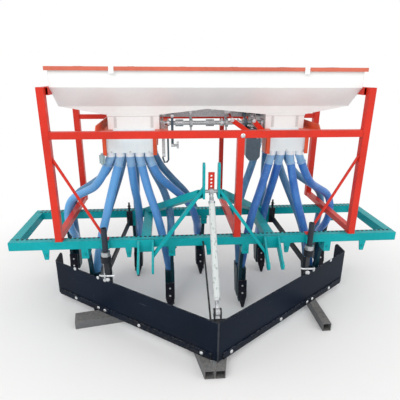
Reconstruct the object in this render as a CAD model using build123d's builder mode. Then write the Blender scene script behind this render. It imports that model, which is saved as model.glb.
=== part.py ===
from build123d import *
import math
import os

os.makedirs("parts", exist_ok=True)

# Lengths are in millimetres. X runs along the drill's width, Y from the hitch to the back, Z up.
# A setback or reach is counted from the front beam's front face, a rise from the frame's top.

# Main frame of square tube
FRAME_LENGTH = 2286.0
FRAME_DEPTH = 530.0
FRAME_TOP = 540.0
BEAM_SIDE = 50.0
BEAM_WALL = 5.0
CHANNEL_WIDTH = 55.0
ROW_SPACING = 235.0
ROW_COUNT = 9

# How far the drill reaches ahead of and behind the front beam's front face
SUPPORT_REACH = 520.0
BACK_REACH = 765.0

# Red stand that carries the hopper
STAND_X = 861.0
POST_SIDE = 38.0
POST_HEIGHT = 841.0
REAR_POST_SIDE = 40.0
STAND_WALL = 3.0
TOP_RAIL_SIDE = 40.0
BOTTOM_RAIL_SIDE = 35.0
FRONT_BAR_SIDE = 38.0
FRONT_BAR_RISE = 600.0
REAR_BAR_SIDE = 31.0
REAR_BAR_RISE = 614.0
MIDDLE_FRAME_X = 165.0
MIDDLE_REAR_SIDE = 30.0
BRACE_RADIUS = 8.0
BRACE_TOP_RISE = 504.0
BRACE_FOOT_X = 600.0
BRACE_FOOT_SIZE = 36.0
BRACE_FOOT_THICKNESS = 6.0

# Hopper of folded sheet, with a fertilizer side in front and a seed side behind
SHEET = 3.0
HOPPER_LENGTH = 1660.0
HOPPER_SETBACK = 60.0
HOPPER_DEPTH = 640.0
RIM_RISE = 937.0
BAND_FOOT_RISE = 838.0
THROAT_TOP_RISE = 732.0
THROAT_BOX_RISE = 684.0
THROAT_CROWN_RISE = 716.0
THROAT_SETBACK = 137.0
THROAT_DEPTH = 90.0

# Metering boxes under the throats, a wide one on the left and a narrow one on the right
BOX_FOOT_RISE = 602.0
BOX_SLOT_WIDTH = 10.0
BOX_SLOT_LENGTH = 46.0
BOX_SLOT_INSET = 42.0
HOOD_SHEET = 4.0
HOOD_DEPTH = 45.0
HOOD_FOOT_RISE = 662.0
HOOD_LAP = 24.0
METER_FOOT_RISE = 470.0
METER_LEAD = 17.0
METER_DEPTH = 104.0
SIDE_PLATE = 6.0
SIDE_PLATE_DROP = 15.0
SIDE_PLATE_TAPER = 26.0
SIDE_PLATE_LAP = 10.0
CROSS_RAIL_WIDTH = 75.0
CROSS_RAIL_THICKNESS = 6.0
CROSS_RAIL_LEG = 38.0
CROSS_RAIL_SLOPE = 46.0
CROSS_RAIL_SEAT = 25.0
BOX_COLUMNS = ("box_x", "box_width", "meter_x", "meter_width", "first_cup_x", "cup_pitch", "cups")
BOX_ROWS = (
    (-422.0, 291.0, -448.0, 296.0, -565.0, 56.0, 5),
    (457.0, 229.0, 476.0, 240.0, 394.0, 57.0, 4),
)
BOXES = [dict(zip(BOX_COLUMNS, row)) for row in BOX_ROWS]
LEFT_BOX, RIGHT_BOX = BOXES

# Cups under the metering boxes, and what hangs from them
CUP_RADIUS = 25.0
CUP_HEIGHT = 25.0
CUP_SETBACK = 27.0
HOSE_RADIUS = 25.0
HOSE_SLEEVE_RADIUS = 24.0
HOSE_SLEEVE_LENGTH = 57.0
HOSE_SLEEVE_OVERRUN_SHARE = 0.5
BEND_RUN_SHARE = 0.45
HOSES_ON_THE_RIGHT = (1, 2, 3, 6)

# Lid and its hinges
LID_OVERHANG = 14.0
LID_SHEET = 3.0
LID_RIM = 20.0
LID_SEAT_GAP = 0.4
HINGE_RADIUS = 7.0
HINGE_PIN = 3.5
HINGE_GAP = 0.5
HINGE_PLATE = 4.0
HINGE_FIXED_LENGTH = 26.0
HINGE_LEAF_LENGTH = 18.0
HINGE_X = (-560.0, 0.0, 560.0)
LATCH_X = 510.0
LATCH_WIDTH = 26.0
LATCH_HEIGHT = 34.0
LATCH_THICKNESS = 4.0

# Feed shaft between the boxes, with its bearings and chain guard
SHAFT_RADIUS = 12.0
RUNNING_GAP = 0.1
SHAFT_RISE = 632.0
SHAFT_END_GAP = 5.0
BEARING_THICKNESS = 14.0
BEARING_RADIUS = 26.0
COUPLING_RADIUS = 20.0
COUPLING_LENGTH = 46.0
COUPLING_X = (-160.0, 20.0)
SPROCKET_TEETH = 14
SPROCKET_RADIUS = 46.0
SPROCKET_THICKNESS = 8.0
SPROCKET_ROLLER = 6.5
GUARD_WIDTH = 56.0
GUARD_WALL = 2.5
GUARD_FOOT_RISE = 455.0
GUARD_DEPTH = 110.0

# Tines, each with a shank, a clamp, a boot and a shovel
SHANK_WIDTH = 20.0
SHANK_DEPTH = 40.0
SHANK_ARC = 620.0
SHANK_BOW = 63.0
SHANK_BOW_RISE = -330.0
SHANK_FOOT_RISE = -505.0
FRONT_SHANK_SETBACK = 45.0
REAR_SHANK_SETBACK = 15.0
SHANK_SIDE = 16.0
CLAMP_PLATE = 10.0
CLAMP_WIDTH = 40.0
CLAMP_DROP = 62.0
CLAMP_TIP_SHARE = 0.55
CHEEK_LAP = 2.0
CHEEK_FOOT_SHARE = 0.75
BOOT_WIDTH = 60.0
BOOT_TOP_RISE = -300.0
BOOT_FOOT_RISE = -492.0
BOOT_INLET_SETBACK = 120.0
BOOT_INLET_PITCH = 54.0
BOOT_MARGIN = 4.0
BOOT_FOOT_SHARE = 0.3
SHOVEL_WIDTH = 56.0
SHOVEL_THICKNESS = 7.0
SHOVEL_TOP_RISE = -360.0
SHOVEL_POINT_SHARE = 0.4
SHOVEL_TIP = 14.0

# Levelling blade, its hangers and stays
BLADE_HEIGHT = 235.0
BLADE_SHEET = 6.0
BLADE_LIFT = 50.0
BLADE_REACH = 462.0
BLADE_HALF_SPAN = 980.0
BLADE_END_SETBACK = 258.0
BLADE_RETURN = 150.0
BLADE_BEND = 24.0
BLADE_CORNER = 40.0
STRIP_HEIGHT = 40.0
STRIP_THICKNESS = 6.0
STRIP_APEX_GAP = 36.0
HANGER_X = 600.0
HANGER_RADIUS = 16.5
HANGER_WALL = 3.0
HANGER_TOP_RISE = 86.0
HANGER_FOOT_RISE = -58.0
CRADLE_WIDTH = 46.0
CRADLE_HEIGHT = 40.0
CRADLE_REACH = 23.0
COLLAR_RADIUS = 26.0
COLLAR_HEIGHT = 27.0
SLEEVE_BODY_RADIUS = 29.0
SLEEVE_BODY_HEIGHT = 40.0
FORK_WIDTH = 44.0
FORK_FOOT_RISE = -204.0
FORK_PLATE = 8.0
STRAP_WIDTH = 50.0
STRAP_THICKNESS = 10.0
STRAP_TOP_RISE = -140.0
STRAP_FOOT_RISE = -345.0
STAY_WIDTH = 40.0
STAY_THICKNESS = 12.0
STAY_FRONT_RISE = -180.0
STAY_REAR_X = 505.0
STAY_REAR_RISE = -72.0
STAY_PLATE_HEIGHT = 110.0
STAY_ROD_RADIUS = 6.0
STAY_ROD_HEIGHT = 62.0

# Three-point hitch
LOWER_PIN_X = 370.0
LOWER_EAR_GAP = 70.0
LOWER_EAR = 12.0
LOWER_EAR_WIDTH = 50.0
LOWER_PIN_RADIUS = 11.2
LOWER_PIN_REACH = 125.0
LOWER_PIN_RISE = -130.0
BRACKET_PLATE = 10.0
BRACKET_FOOT_RISE = -75.0
MAST_LUG_X = 41.0
MAST_LUG = 12.0
MAST_LUG_WIDTH = 46.0
MAST_REACH = 50.0
MAST_FOOT_RISE = 262.0
TOP_PIN_RADIUS = 9.6
TOP_PIN_RISE = 438.0
LEG_WIDTH = 32.0
LEG_THICKNESS = 16.0
LEG_HEAD_RISE = 322.0
LEG_FOOT_RISE = -60.0
MAST_BRACE_SIDE = 42.0
MAST_BRACE_HEAD_RISE = 292.0

# Turnbuckle from the mast down to the blade's point
LINK_HEAD_RISE = 300.0
LINK_FOOT_REACH = 410.0
LINK_FOOT_RISE = -222.0
LINK_TUBE_RADIUS = 17.0
LINK_ROD_RADIUS = 10.0
LINK_ROD_LENGTH = 70.0
EYE_RADIUS = 20.0
EYE_THICKNESS = 22.0
LINK_PIN_RADIUS = 9.5
CLEVIS_PLATE = 8.0
CLEVIS_GAP = 1.0
GUSSET_WIDTH = 46.0
GUSSET_HEIGHT = 70.0
ADJUSTER_WIDTH = 34.0
ADJUSTER_THICKNESS = 10.0
ADJUSTER_LENGTH = 98.0
ADJUSTER_HOLE = 6.0
ADJUSTER_HOLES = 4
CENTRE_ROD_RADIUS = 5.0
CENTRE_ROD_X = 36.0

# Tubes on the ground that the blade rests on
SUPPORT_SIDE = 50.0
SUPPORT_WALL = 3.0
SIDE_SUPPORT_X = 690.0
SIDE_SUPPORT_REACH = 200.0
SIDE_SUPPORT_LENGTH = 260.0
LEFT_SUPPORT_X = -811.0
LEFT_SUPPORT_SETBACK = -34.0
LEFT_SUPPORT_WIDTH = 92.0
LEFT_SUPPORT_LENGTH = 330.0
LEFT_SUPPORT_TURN = 10.5
POINT_SUPPORT_X = 27.0
POINT_SUPPORT_SHIFT = -20.0
POINT_SUPPORT_TURN = 12.0
POINT_SUPPORT_LENGTH = 250.0

# Places that follow from the sizes above
FRONT_Y = (SUPPORT_REACH - BACK_REACH) / 2
FRONT_BEAM_Y = FRONT_Y + BEAM_SIDE / 2
REAR_BEAM_Y = FRONT_Y + FRAME_DEPTH - BEAM_SIDE / 2
REAR_FACE_Y = FRONT_Y + FRAME_DEPTH - BEAM_SIDE
BEAM_Z = FRAME_TOP - BEAM_SIDE / 2
FRAME_FOOT = FRAME_TOP - BEAM_SIDE
STAND_BACK_Y = FRONT_Y + BACK_REACH
REAR_POST_Y = STAND_BACK_Y - REAR_POST_SIDE / 2
HOPPER_FRONT_Y = FRONT_Y + HOPPER_SETBACK
HOPPER_BACK_Y = HOPPER_FRONT_Y + HOPPER_DEPTH
HOPPER_MID_Y = HOPPER_FRONT_Y + HOPPER_DEPTH / 2
POST_INNER_X = STAND_X - POST_SIDE / 2
HOPPER_HALF = HOPPER_LENGTH / 2
TOP_RAIL_X = HOPPER_HALF + TOP_RAIL_SIDE / 2
THROAT_FRONT_Y = HOPPER_FRONT_Y + THROAT_SETBACK
THROAT_BACK_Y = THROAT_FRONT_Y + THROAT_DEPTH
RIM_Z = FRAME_TOP + RIM_RISE
BAND_FOOT_Z = FRAME_TOP + BAND_FOOT_RISE
THROAT_TOP_Z = FRAME_TOP + THROAT_TOP_RISE
THROAT_BOX_Z = FRAME_TOP + THROAT_BOX_RISE
THROAT_CROWN_Z = FRAME_TOP + THROAT_CROWN_RISE
BOX_FOOT_Z = FRAME_TOP + BOX_FOOT_RISE
METER_FOOT_Z = FRAME_TOP + METER_FOOT_RISE
METER_TOP_Z = BOX_FOOT_Z - CROSS_RAIL_THICKNESS
METER_FRONT_Y = THROAT_FRONT_Y - METER_LEAD
METER_BACK_Y = METER_FRONT_Y + METER_DEPTH
CUP_Y = METER_FRONT_Y + CUP_SETBACK
CUP_FOOT_Z = METER_FOOT_Z - CUP_HEIGHT
FRONT_BAR_Z = FRAME_TOP + FRONT_BAR_RISE
REAR_BAR_Z = FRAME_TOP + REAR_BAR_RISE
BLADE_APEX_Y = FRONT_Y - BLADE_REACH
BLADE_END_Y = FRONT_Y + BLADE_END_SETBACK
BLADE_TOP_Z = BLADE_LIFT + BLADE_HEIGHT
BOOT_TOP_Z = FRAME_TOP + BOOT_TOP_RISE
MAST_Y = FRONT_Y - MAST_REACH
SIDES = Plane.YZ
MIDDLE = Plane((0, HOPPER_MID_Y, 0), x_dir=(1, 0, 0), z_dir=(0, 1, 0))


def finish(piece, name):
    """Labels a piece and writes its STEP file."""
    piece.part.label = name
    export_step(piece.part, f"parts/{name}.step")


def aimed(start, end, across=(1, 0, 0)):
    """Plane at start that faces end, with its X axis held near across."""
    normal = (Vector(*end) - Vector(*start)).normalized()
    side = Vector(*across)
    side = (side - normal * side.dot(normal)).normalized()
    return Plane(origin=start, x_dir=side, z_dir=normal)


def span(start, end):
    """Distance between two points."""
    return (Vector(*end) - Vector(*start)).length


def lengthwise(x, y, z):
    """Plane that faces along the drill's width, with sketch axes Y and Z."""
    return Plane((x, y, z), x_dir=(0, 1, 0), z_dir=(1, 0, 0))


def backward(x, y, z):
    """Plane that faces from the hitch to the back, with sketch axes X and down."""
    return Plane((x, y, z), x_dir=(1, 0, 0), z_dir=(0, 1, 0))


def forward(x, y, z):
    """Plane that faces from the back to the hitch, with sketch axes X and Z."""
    return Plane((x, y, z), x_dir=(1, 0, 0), z_dir=(0, -1, 0))


def square_tube(plane, side, wall, length, trims=(), width=None):
    """Tube from a plane, cut by the trim planes, square unless a width along its Y axis is given."""
    width = width or side
    with BuildSketch(plane) as section:
        Rectangle(side, width)
        Rectangle(side - 2 * wall, width - 2 * wall, mode=Mode.SUBTRACT)
    add_trimmed(section, length, trims)


def flat_bar(plane, width, thickness, length, trims=()):
    """Solid bar from a plane, cut by the trim planes, for the part being built."""
    with BuildSketch(plane) as section:
        Rectangle(width, thickness)
    add_trimmed(section, length, trims)


def round_bar(plane, radius, length, trims=(), bore=0):
    """Round bar or pipe from a plane, cut by the trim planes, for the part being built."""
    with BuildSketch(plane) as section:
        Circle(radius)
        if bore:
            Circle(bore, mode=Mode.SUBTRACT)
    add_trimmed(section, length, trims)


def add_trimmed(section, length, trims):
    """Extrudes a section, keeps what each trim plane faces, and adds it to the part."""
    body = extrude(to_extrude=section.sketch, amount=length, mode=Mode.PRIVATE)
    for trim in trims:
        body = split(body, bisect_by=trim, keep=Keep.TOP, mode=Mode.PRIVATE)
    add(body)


# Main frame
with BuildPart() as front_beam:
    square_tube(lengthwise(-FRAME_LENGTH / 2, FRONT_BEAM_Y, BEAM_Z), BEAM_SIDE, BEAM_WALL, FRAME_LENGTH)
finish(front_beam, "front_beam")

with BuildPart() as rear_beam:
    square_tube(lengthwise(-FRAME_LENGTH / 2, REAR_BEAM_Y, BEAM_Z), BEAM_SIDE, BEAM_WALL, FRAME_LENGTH)
finish(rear_beam, "rear_beam")

with BuildPart() as end_members:
    end_x = (FRAME_LENGTH - BEAM_SIDE) / 2
    start = backward(end_x, FRONT_Y + BEAM_SIDE, BEAM_Z)
    square_tube(start, BEAM_SIDE, BEAM_WALL, FRAME_DEPTH - 2 * BEAM_SIDE)
    mirror(about=SIDES)
finish(end_members, "end_members")

with BuildPart() as hitch_channels:
    with BuildSketch(backward(LOWER_PIN_X, FRONT_Y + BEAM_SIDE, BEAM_Z)):
        Rectangle(CHANNEL_WIDTH, BEAM_SIDE)
        with Locations((0, BEAM_WALL)):
            Rectangle(CHANNEL_WIDTH - 2 * BEAM_WALL, BEAM_SIDE, mode=Mode.SUBTRACT)
    extrude(amount=FRAME_DEPTH - 2 * BEAM_SIDE)
    mirror(about=SIDES)
finish(hitch_channels, "hitch_channels")

# Three-point hitch
LOWER_PIN_Y = FRONT_Y - LOWER_PIN_REACH
LOWER_PIN_Z = FRAME_TOP + LOWER_PIN_RISE
BRACKET_FOOT_Z = FRAME_TOP + BRACKET_FOOT_RISE
BRACKET_FACE_Y = FRONT_Y - BRACKET_PLATE
EAR_OFFSET = (LOWER_EAR_GAP + LOWER_EAR) / 2
EAR_INNER_X = LOWER_PIN_X - EAR_OFFSET - LOWER_EAR / 2
with BuildPart() as hitch_brackets:
    with BuildSketch(forward(LOWER_PIN_X, FRONT_Y, (FRAME_TOP + BRACKET_FOOT_Z) / 2)):
        Rectangle(LOWER_EAR_GAP + 2 * LOWER_EAR, FRAME_TOP - BRACKET_FOOT_Z)
    extrude(amount=BRACKET_PLATE)
    for ear in (-1, 1):
        with BuildSketch(lengthwise(LOWER_PIN_X + ear * EAR_OFFSET - LOWER_EAR / 2, 0, 0)):
            with BuildLine():
                Polyline(
                    (BRACKET_FACE_Y, FRAME_TOP),
                    (BRACKET_FACE_Y, BRACKET_FOOT_Z),
                    (LOWER_PIN_Y, LOWER_PIN_Z - LOWER_EAR_WIDTH / 2),
                    (LOWER_PIN_Y, LOWER_PIN_Z + LOWER_EAR_WIDTH / 2),
                    close=True,
                )
            make_face()
            with Locations((LOWER_PIN_Y, LOWER_PIN_Z)):
                Circle(LOWER_EAR_WIDTH / 2)
                Circle(LOWER_PIN_RADIUS, mode=Mode.SUBTRACT)
        extrude(amount=LOWER_EAR)
    mirror(about=SIDES)
finish(hitch_brackets, "hitch_brackets")

TOP_PIN_Z = FRAME_TOP + TOP_PIN_RISE
MAST_FOOT_Z = FRAME_TOP + MAST_FOOT_RISE
with BuildPart() as mast_lugs:
    with BuildSketch(lengthwise(MAST_LUG_X - MAST_LUG / 2, MAST_Y, 0)):
        with Locations((0, (TOP_PIN_Z + MAST_FOOT_Z) / 2)):
            Rectangle(MAST_LUG_WIDTH, TOP_PIN_Z - MAST_FOOT_Z)
        with Locations((0, TOP_PIN_Z)):
            Circle(MAST_LUG_WIDTH / 2)
            Circle(TOP_PIN_RADIUS, mode=Mode.SUBTRACT)
    extrude(amount=MAST_LUG)
    mirror(about=SIDES)
finish(mast_lugs, "mast_lugs")

LUG_OUTER_X = MAST_LUG_X + MAST_LUG / 2
LEG_SLOPE = math.atan2(LEG_HEAD_RISE - LEG_FOOT_RISE, EAR_INNER_X - LUG_OUTER_X)
LEG_CUT = LEG_THICKNESS / math.cos(LEG_SLOPE)
with BuildPart() as mast_front_legs:
    with BuildSketch(forward(0, MAST_Y + LEG_WIDTH / 2, FRAME_TOP)):
        with BuildLine():
            Polyline(
                (LUG_OUTER_X, LEG_HEAD_RISE),
                (LUG_OUTER_X, LEG_HEAD_RISE - LEG_CUT),
                (EAR_INNER_X, LEG_FOOT_RISE - LEG_CUT),
                (EAR_INNER_X, LEG_FOOT_RISE),
                close=True,
            )
        make_face()
    extrude(amount=LEG_WIDTH)
    mirror(about=SIDES)
finish(mast_front_legs, "mast_front_legs")

LUG_BACK_Y = MAST_Y + MAST_LUG_WIDTH / 2
with BuildPart() as mast_rear_braces:
    head = (MAST_LUG_X, MAST_Y, FRAME_TOP + MAST_BRACE_HEAD_RISE)
    foot = (LOWER_PIN_X, REAR_FACE_Y, FRAME_TOP)
    direction = (Vector(*foot) - Vector(*head)).normalized()
    past_foot = Vector(*foot) + direction * BEAM_SIDE
    trims = (backward(0, LUG_BACK_Y, 0), Plane((0, 0, FRAME_TOP)))
    square_tube(aimed(head, past_foot), MAST_BRACE_SIDE, BEAM_WALL, span(head, past_foot), trims)
    mirror(about=SIDES)
finish(mast_rear_braces, "mast_rear_braces")

# Red stand
POST_TOP_Z = FRAME_TOP + POST_HEIGHT
POST_BACK_Y = FRONT_Y + POST_SIDE
with BuildPart() as front_posts:
    square_tube(Plane((STAND_X, FRONT_Y + POST_SIDE / 2, FRAME_TOP)), POST_SIDE, STAND_WALL, POST_HEIGHT)
    mirror(about=SIDES)
    start = Plane((MIDDLE_FRAME_X, FRONT_Y + POST_SIDE / 2, FRAME_TOP))
    square_tube(start, POST_SIDE, STAND_WALL, FRONT_BAR_RISE - FRONT_BAR_SIDE / 2)
finish(front_posts, "front_posts")

with BuildPart() as rear_posts:
    height = POST_HEIGHT - TOP_RAIL_SIDE
    square_tube(Plane((STAND_X, REAR_POST_Y, FRAME_TOP)), REAR_POST_SIDE, STAND_WALL, height)
    mirror(about=SIDES)
    start = Plane((MIDDLE_FRAME_X, REAR_POST_Y, FRAME_TOP))
    square_tube(start, MIDDLE_REAR_SIDE, STAND_WALL, REAR_BAR_RISE - REAR_BAR_SIDE / 2)
finish(rear_posts, "rear_posts")

with BuildPart() as top_rails:
    start = backward(TOP_RAIL_X, POST_BACK_Y, POST_TOP_Z - TOP_RAIL_SIDE / 2)
    square_tube(start, TOP_RAIL_SIDE, STAND_WALL, STAND_BACK_Y - POST_BACK_Y)
    mirror(about=SIDES)
finish(top_rails, "top_rails")

RAIL_Z = FRAME_TOP + BOTTOM_RAIL_SIDE / 2
RAIL_LENGTH = STAND_BACK_Y - REAR_POST_SIDE - POST_BACK_Y
with BuildPart() as bottom_rails:
    square_tube(backward(STAND_X, POST_BACK_Y, RAIL_Z), BOTTOM_RAIL_SIDE, STAND_WALL, RAIL_LENGTH)
    mirror(about=SIDES)
    length = REAR_POST_Y - MIDDLE_REAR_SIDE / 2 - POST_BACK_Y
    square_tube(backward(MIDDLE_FRAME_X, POST_BACK_Y, RAIL_Z), BOTTOM_RAIL_SIDE, STAND_WALL, length)
finish(bottom_rails, "bottom_rails")

with BuildPart() as front_bar:
    start = lengthwise(-POST_INNER_X, FRONT_Y + POST_SIDE / 2, FRONT_BAR_Z)
    square_tube(start, FRONT_BAR_SIDE, STAND_WALL, 2 * POST_INNER_X)
finish(front_bar, "front_bar")

REAR_BAR_HALF = STAND_X - REAR_POST_SIDE / 2
with BuildPart() as rear_bar:
    start = lengthwise(-REAR_BAR_HALF, REAR_POST_Y, REAR_BAR_Z)
    square_tube(start, REAR_BAR_SIDE, STAND_WALL, 2 * REAR_BAR_HALF)
finish(rear_bar, "rear_bar")

with BuildPart() as brace_rods:
    foot_z = FRAME_TOP + BRACE_FOOT_THICKNESS
    rod_y = FRONT_Y + POST_SIDE / 2
    head = (STAND_X, rod_y, FRAME_TOP + BRACE_TOP_RISE)
    foot = (BRACE_FOOT_X, rod_y, FRAME_TOP)
    trims = (Plane((0, 0, foot_z)), Plane((POST_INNER_X, 0, 0), z_dir=(-1, 0, 0)))
    round_bar(aimed(head, foot, (0, 1, 0)), BRACE_RADIUS, span(head, foot), trims)
    foot_plane = Plane((BRACE_FOOT_X, rod_y, FRAME_TOP))
    flat_bar(foot_plane, BRACE_FOOT_SIZE, BRACE_FOOT_SIZE, BRACE_FOOT_THICKNESS)
    mirror(about=SIDES)
finish(brace_rods, "brace_rods")

# Hopper, folded from sheet
END_INNER_X = HOPPER_HALF - SHEET


def box_edge(box, side):
    """Place of a box's left or right side across the drill."""
    return box["box_x"] + side * box["box_width"] / 2


def throat_foot():
    """Foot of the throats, which dips to each box and rises between them."""
    return [
        (-END_INNER_X, THROAT_TOP_Z),
        (box_edge(LEFT_BOX, -1), THROAT_BOX_Z),
        (box_edge(LEFT_BOX, 1), THROAT_BOX_Z),
        (0, THROAT_CROWN_Z),
        (box_edge(RIGHT_BOX, -1), THROAT_BOX_Z),
        (box_edge(RIGHT_BOX, 1), THROAT_BOX_Z),
        (END_INNER_X, THROAT_TOP_Z),
    ]


def throat_wall(back_y):
    """Upright wall of a throat, one sheet thick, for the part being built."""
    top = [(END_INNER_X, THROAT_TOP_Z + SHEET), (-END_INNER_X, THROAT_TOP_Z + SHEET)]
    with BuildSketch(forward(0, back_y, 0)) as wall:
        with BuildLine() as edge:
            Polyline(*throat_foot(), *top, close=True)
        make_face(edge.edges())
    extrude(to_extrude=wall.sketch, amount=SHEET)


with BuildPart() as hopper_walls:
    with BuildSketch(lengthwise(-END_INNER_X, 0, 0)):
        with BuildLine():
            Polyline(
                (HOPPER_FRONT_Y, RIM_Z),
                (HOPPER_FRONT_Y, BAND_FOOT_Z),
                (THROAT_FRONT_Y, THROAT_TOP_Z),
            )
            offset(amount=SHEET, side=Side.LEFT, kind=Kind.INTERSECTION)
        make_face()
    extrude(amount=2 * END_INNER_X)
    throat_wall(THROAT_FRONT_Y + SHEET)
    mirror(about=MIDDLE)
finish(hopper_walls, "hopper_walls")

with BuildPart() as hopper_divider:
    with BuildSketch(lengthwise(-END_INNER_X, 0, 0)):
        with BuildLine():
            Polyline(
                (THROAT_BACK_Y, THROAT_TOP_Z),
                (HOPPER_MID_Y, BAND_FOOT_Z),
                (HOPPER_BACK_Y - THROAT_SETBACK - THROAT_DEPTH, THROAT_TOP_Z),
            )
            offset(amount=SHEET, side=Side.LEFT, kind=Kind.INTERSECTION)
        make_face()
    extrude(amount=2 * END_INNER_X)
    for wall_back in (THROAT_BACK_Y, HOPPER_BACK_Y - THROAT_SETBACK - THROAT_DEPTH + SHEET):
        throat_wall(wall_back)
finish(hopper_divider, "hopper_divider")

with BuildPart() as hopper_ends:
    with BuildSketch(lengthwise(END_INNER_X, 0, 0)):
        with BuildLine():
            Polyline(
                (HOPPER_FRONT_Y, RIM_Z),
                (HOPPER_FRONT_Y, BAND_FOOT_Z),
                (THROAT_FRONT_Y, THROAT_TOP_Z),
                (THROAT_BACK_Y, THROAT_TOP_Z),
                (HOPPER_MID_Y, BAND_FOOT_Z),
                (HOPPER_BACK_Y - THROAT_SETBACK - THROAT_DEPTH, THROAT_TOP_Z),
                (HOPPER_BACK_Y - THROAT_SETBACK, THROAT_TOP_Z),
                (HOPPER_BACK_Y, BAND_FOOT_Z),
                (HOPPER_BACK_Y, RIM_Z),
                close=True,
            )
        make_face()
    extrude(amount=SHEET)
    mirror(about=SIDES)
finish(hopper_ends, "hopper_ends")

# Floors of the two throats, with a gap over each box
FLOOR_RUNS = (
    ((-END_INNER_X, THROAT_TOP_Z), (box_edge(LEFT_BOX, -1), THROAT_BOX_Z)),
    (
        (box_edge(LEFT_BOX, 1), THROAT_BOX_Z),
        (0, THROAT_CROWN_Z),
        (box_edge(RIGHT_BOX, -1), THROAT_BOX_Z),
    ),
    ((box_edge(RIGHT_BOX, 1), THROAT_BOX_Z), (END_INNER_X, THROAT_TOP_Z)),
)
with BuildPart() as hopper_floors:
    for run in FLOOR_RUNS:
        with BuildSketch(forward(0, THROAT_BACK_Y - SHEET, 0)):
            with BuildLine():
                Polyline(*run, *((x, z + SHEET) for x, z in reversed(run)), close=True)
            make_face()
        extrude(amount=THROAT_DEPTH - 2 * SHEET)
    mirror(about=MIDDLE)
finish(hopper_floors, "hopper_floors")

# Metering boxes: a fertilizer pair in front and its mirror image for seed behind
BOX_HEIGHT = THROAT_BOX_Z - BOX_FOOT_Z
with BuildPart() as metering_boxes:
    for box in BOXES:
        middle_y = (THROAT_FRONT_Y + THROAT_BACK_Y) / 2
        with BuildSketch(Plane((box["box_x"], middle_y, BOX_FOOT_Z))):
            Rectangle(box["box_width"], THROAT_DEPTH)
        extrude(amount=BOX_HEIGHT)
        with BuildSketch(Plane((box["box_x"], middle_y, BOX_FOOT_Z + SHEET))):
            Rectangle(box["box_width"] - 2 * SHEET, THROAT_DEPTH - 2 * SHEET)
        extrude(amount=BOX_HEIGHT, mode=Mode.SUBTRACT)
        with BuildSketch(forward(box["box_x"], THROAT_FRONT_Y + SHEET, BOX_FOOT_Z + BOX_HEIGHT / 2)):
            slot_x = box["box_width"] / 2 - BOX_SLOT_INSET
            with Locations((-slot_x, 0), (slot_x, 0)):
                SlotOverall(BOX_SLOT_LENGTH, BOX_SLOT_WIDTH, rotation=90)
        extrude(amount=SHEET, mode=Mode.SUBTRACT)
    mirror(about=MIDDLE)
finish(metering_boxes, "metering_boxes")

# Folded hood over the feed gear, across the backs of the two front boxes
HOOD_START_X = box_edge(LEFT_BOX, 1) - HOOD_LAP
HOOD_END_X = box_edge(RIGHT_BOX, -1) + HOOD_LAP
with BuildPart() as feed_hood:
    with BuildSketch(forward(0, THROAT_BACK_Y + HOOD_SHEET, FRAME_TOP)):
        with BuildLine():
            Polyline(
                (HOOD_START_X, HOOD_FOOT_RISE),
                (HOOD_START_X, THROAT_BOX_RISE),
                (0, THROAT_CROWN_RISE),
                (HOOD_END_X, THROAT_BOX_RISE),
                (HOOD_END_X, HOOD_FOOT_RISE),
                close=True,
            )
        make_face()
    extrude(amount=HOOD_SHEET)
    flange_x = (HOOD_START_X + HOOD_END_X) / 2
    flange = backward(flange_x, THROAT_BACK_Y, FRAME_TOP + HOOD_FOOT_RISE + HOOD_SHEET / 2)
    flat_bar(flange, HOOD_END_X - HOOD_START_X, HOOD_SHEET, HOOD_DEPTH)
finish(feed_hood, "feed_hood")

with BuildPart() as meters:
    for box in BOXES:
        middle_y = (METER_FRONT_Y + METER_BACK_Y) / 2
        with BuildSketch(Plane((box["meter_x"], middle_y, METER_FOOT_Z))):
            Rectangle(box["meter_width"], METER_DEPTH)
        extrude(amount=METER_TOP_Z - METER_FOOT_Z)
        with BuildSketch(Plane((box["box_x"], (THROAT_FRONT_Y + THROAT_BACK_Y) / 2, METER_TOP_Z))):
            Rectangle(box["box_width"] - 2 * CROSS_RAIL_SEAT, THROAT_DEPTH)
        extrude(amount=CROSS_RAIL_THICKNESS)
    mirror(about=MIDDLE)
finish(meters, "meters")

with BuildPart() as meter_side_plates:
    plate_front = METER_FRONT_Y - SIDE_PLATE_LAP
    plate_back = METER_BACK_Y + SIDE_PLATE_LAP
    plate_foot = METER_FOOT_Z - SIDE_PLATE_DROP
    for box in BOXES:
        for side in (-1, 1):
            inner_x = box["meter_x"] + side * box["meter_width"] / 2
            with BuildSketch(lengthwise(min(inner_x, inner_x + side * SIDE_PLATE), 0, 0)):
                with BuildLine():
                    Polyline(
                        (plate_front, METER_TOP_Z),
                        (plate_front + SIDE_PLATE_TAPER, plate_foot),
                        (plate_back - SIDE_PLATE_TAPER, plate_foot),
                        (plate_back, METER_TOP_Z),
                        close=True,
                    )
                make_face()
            extrude(amount=SIDE_PLATE)
    mirror(about=MIDDLE)
finish(meter_side_plates, "meter_side_plates")

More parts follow.
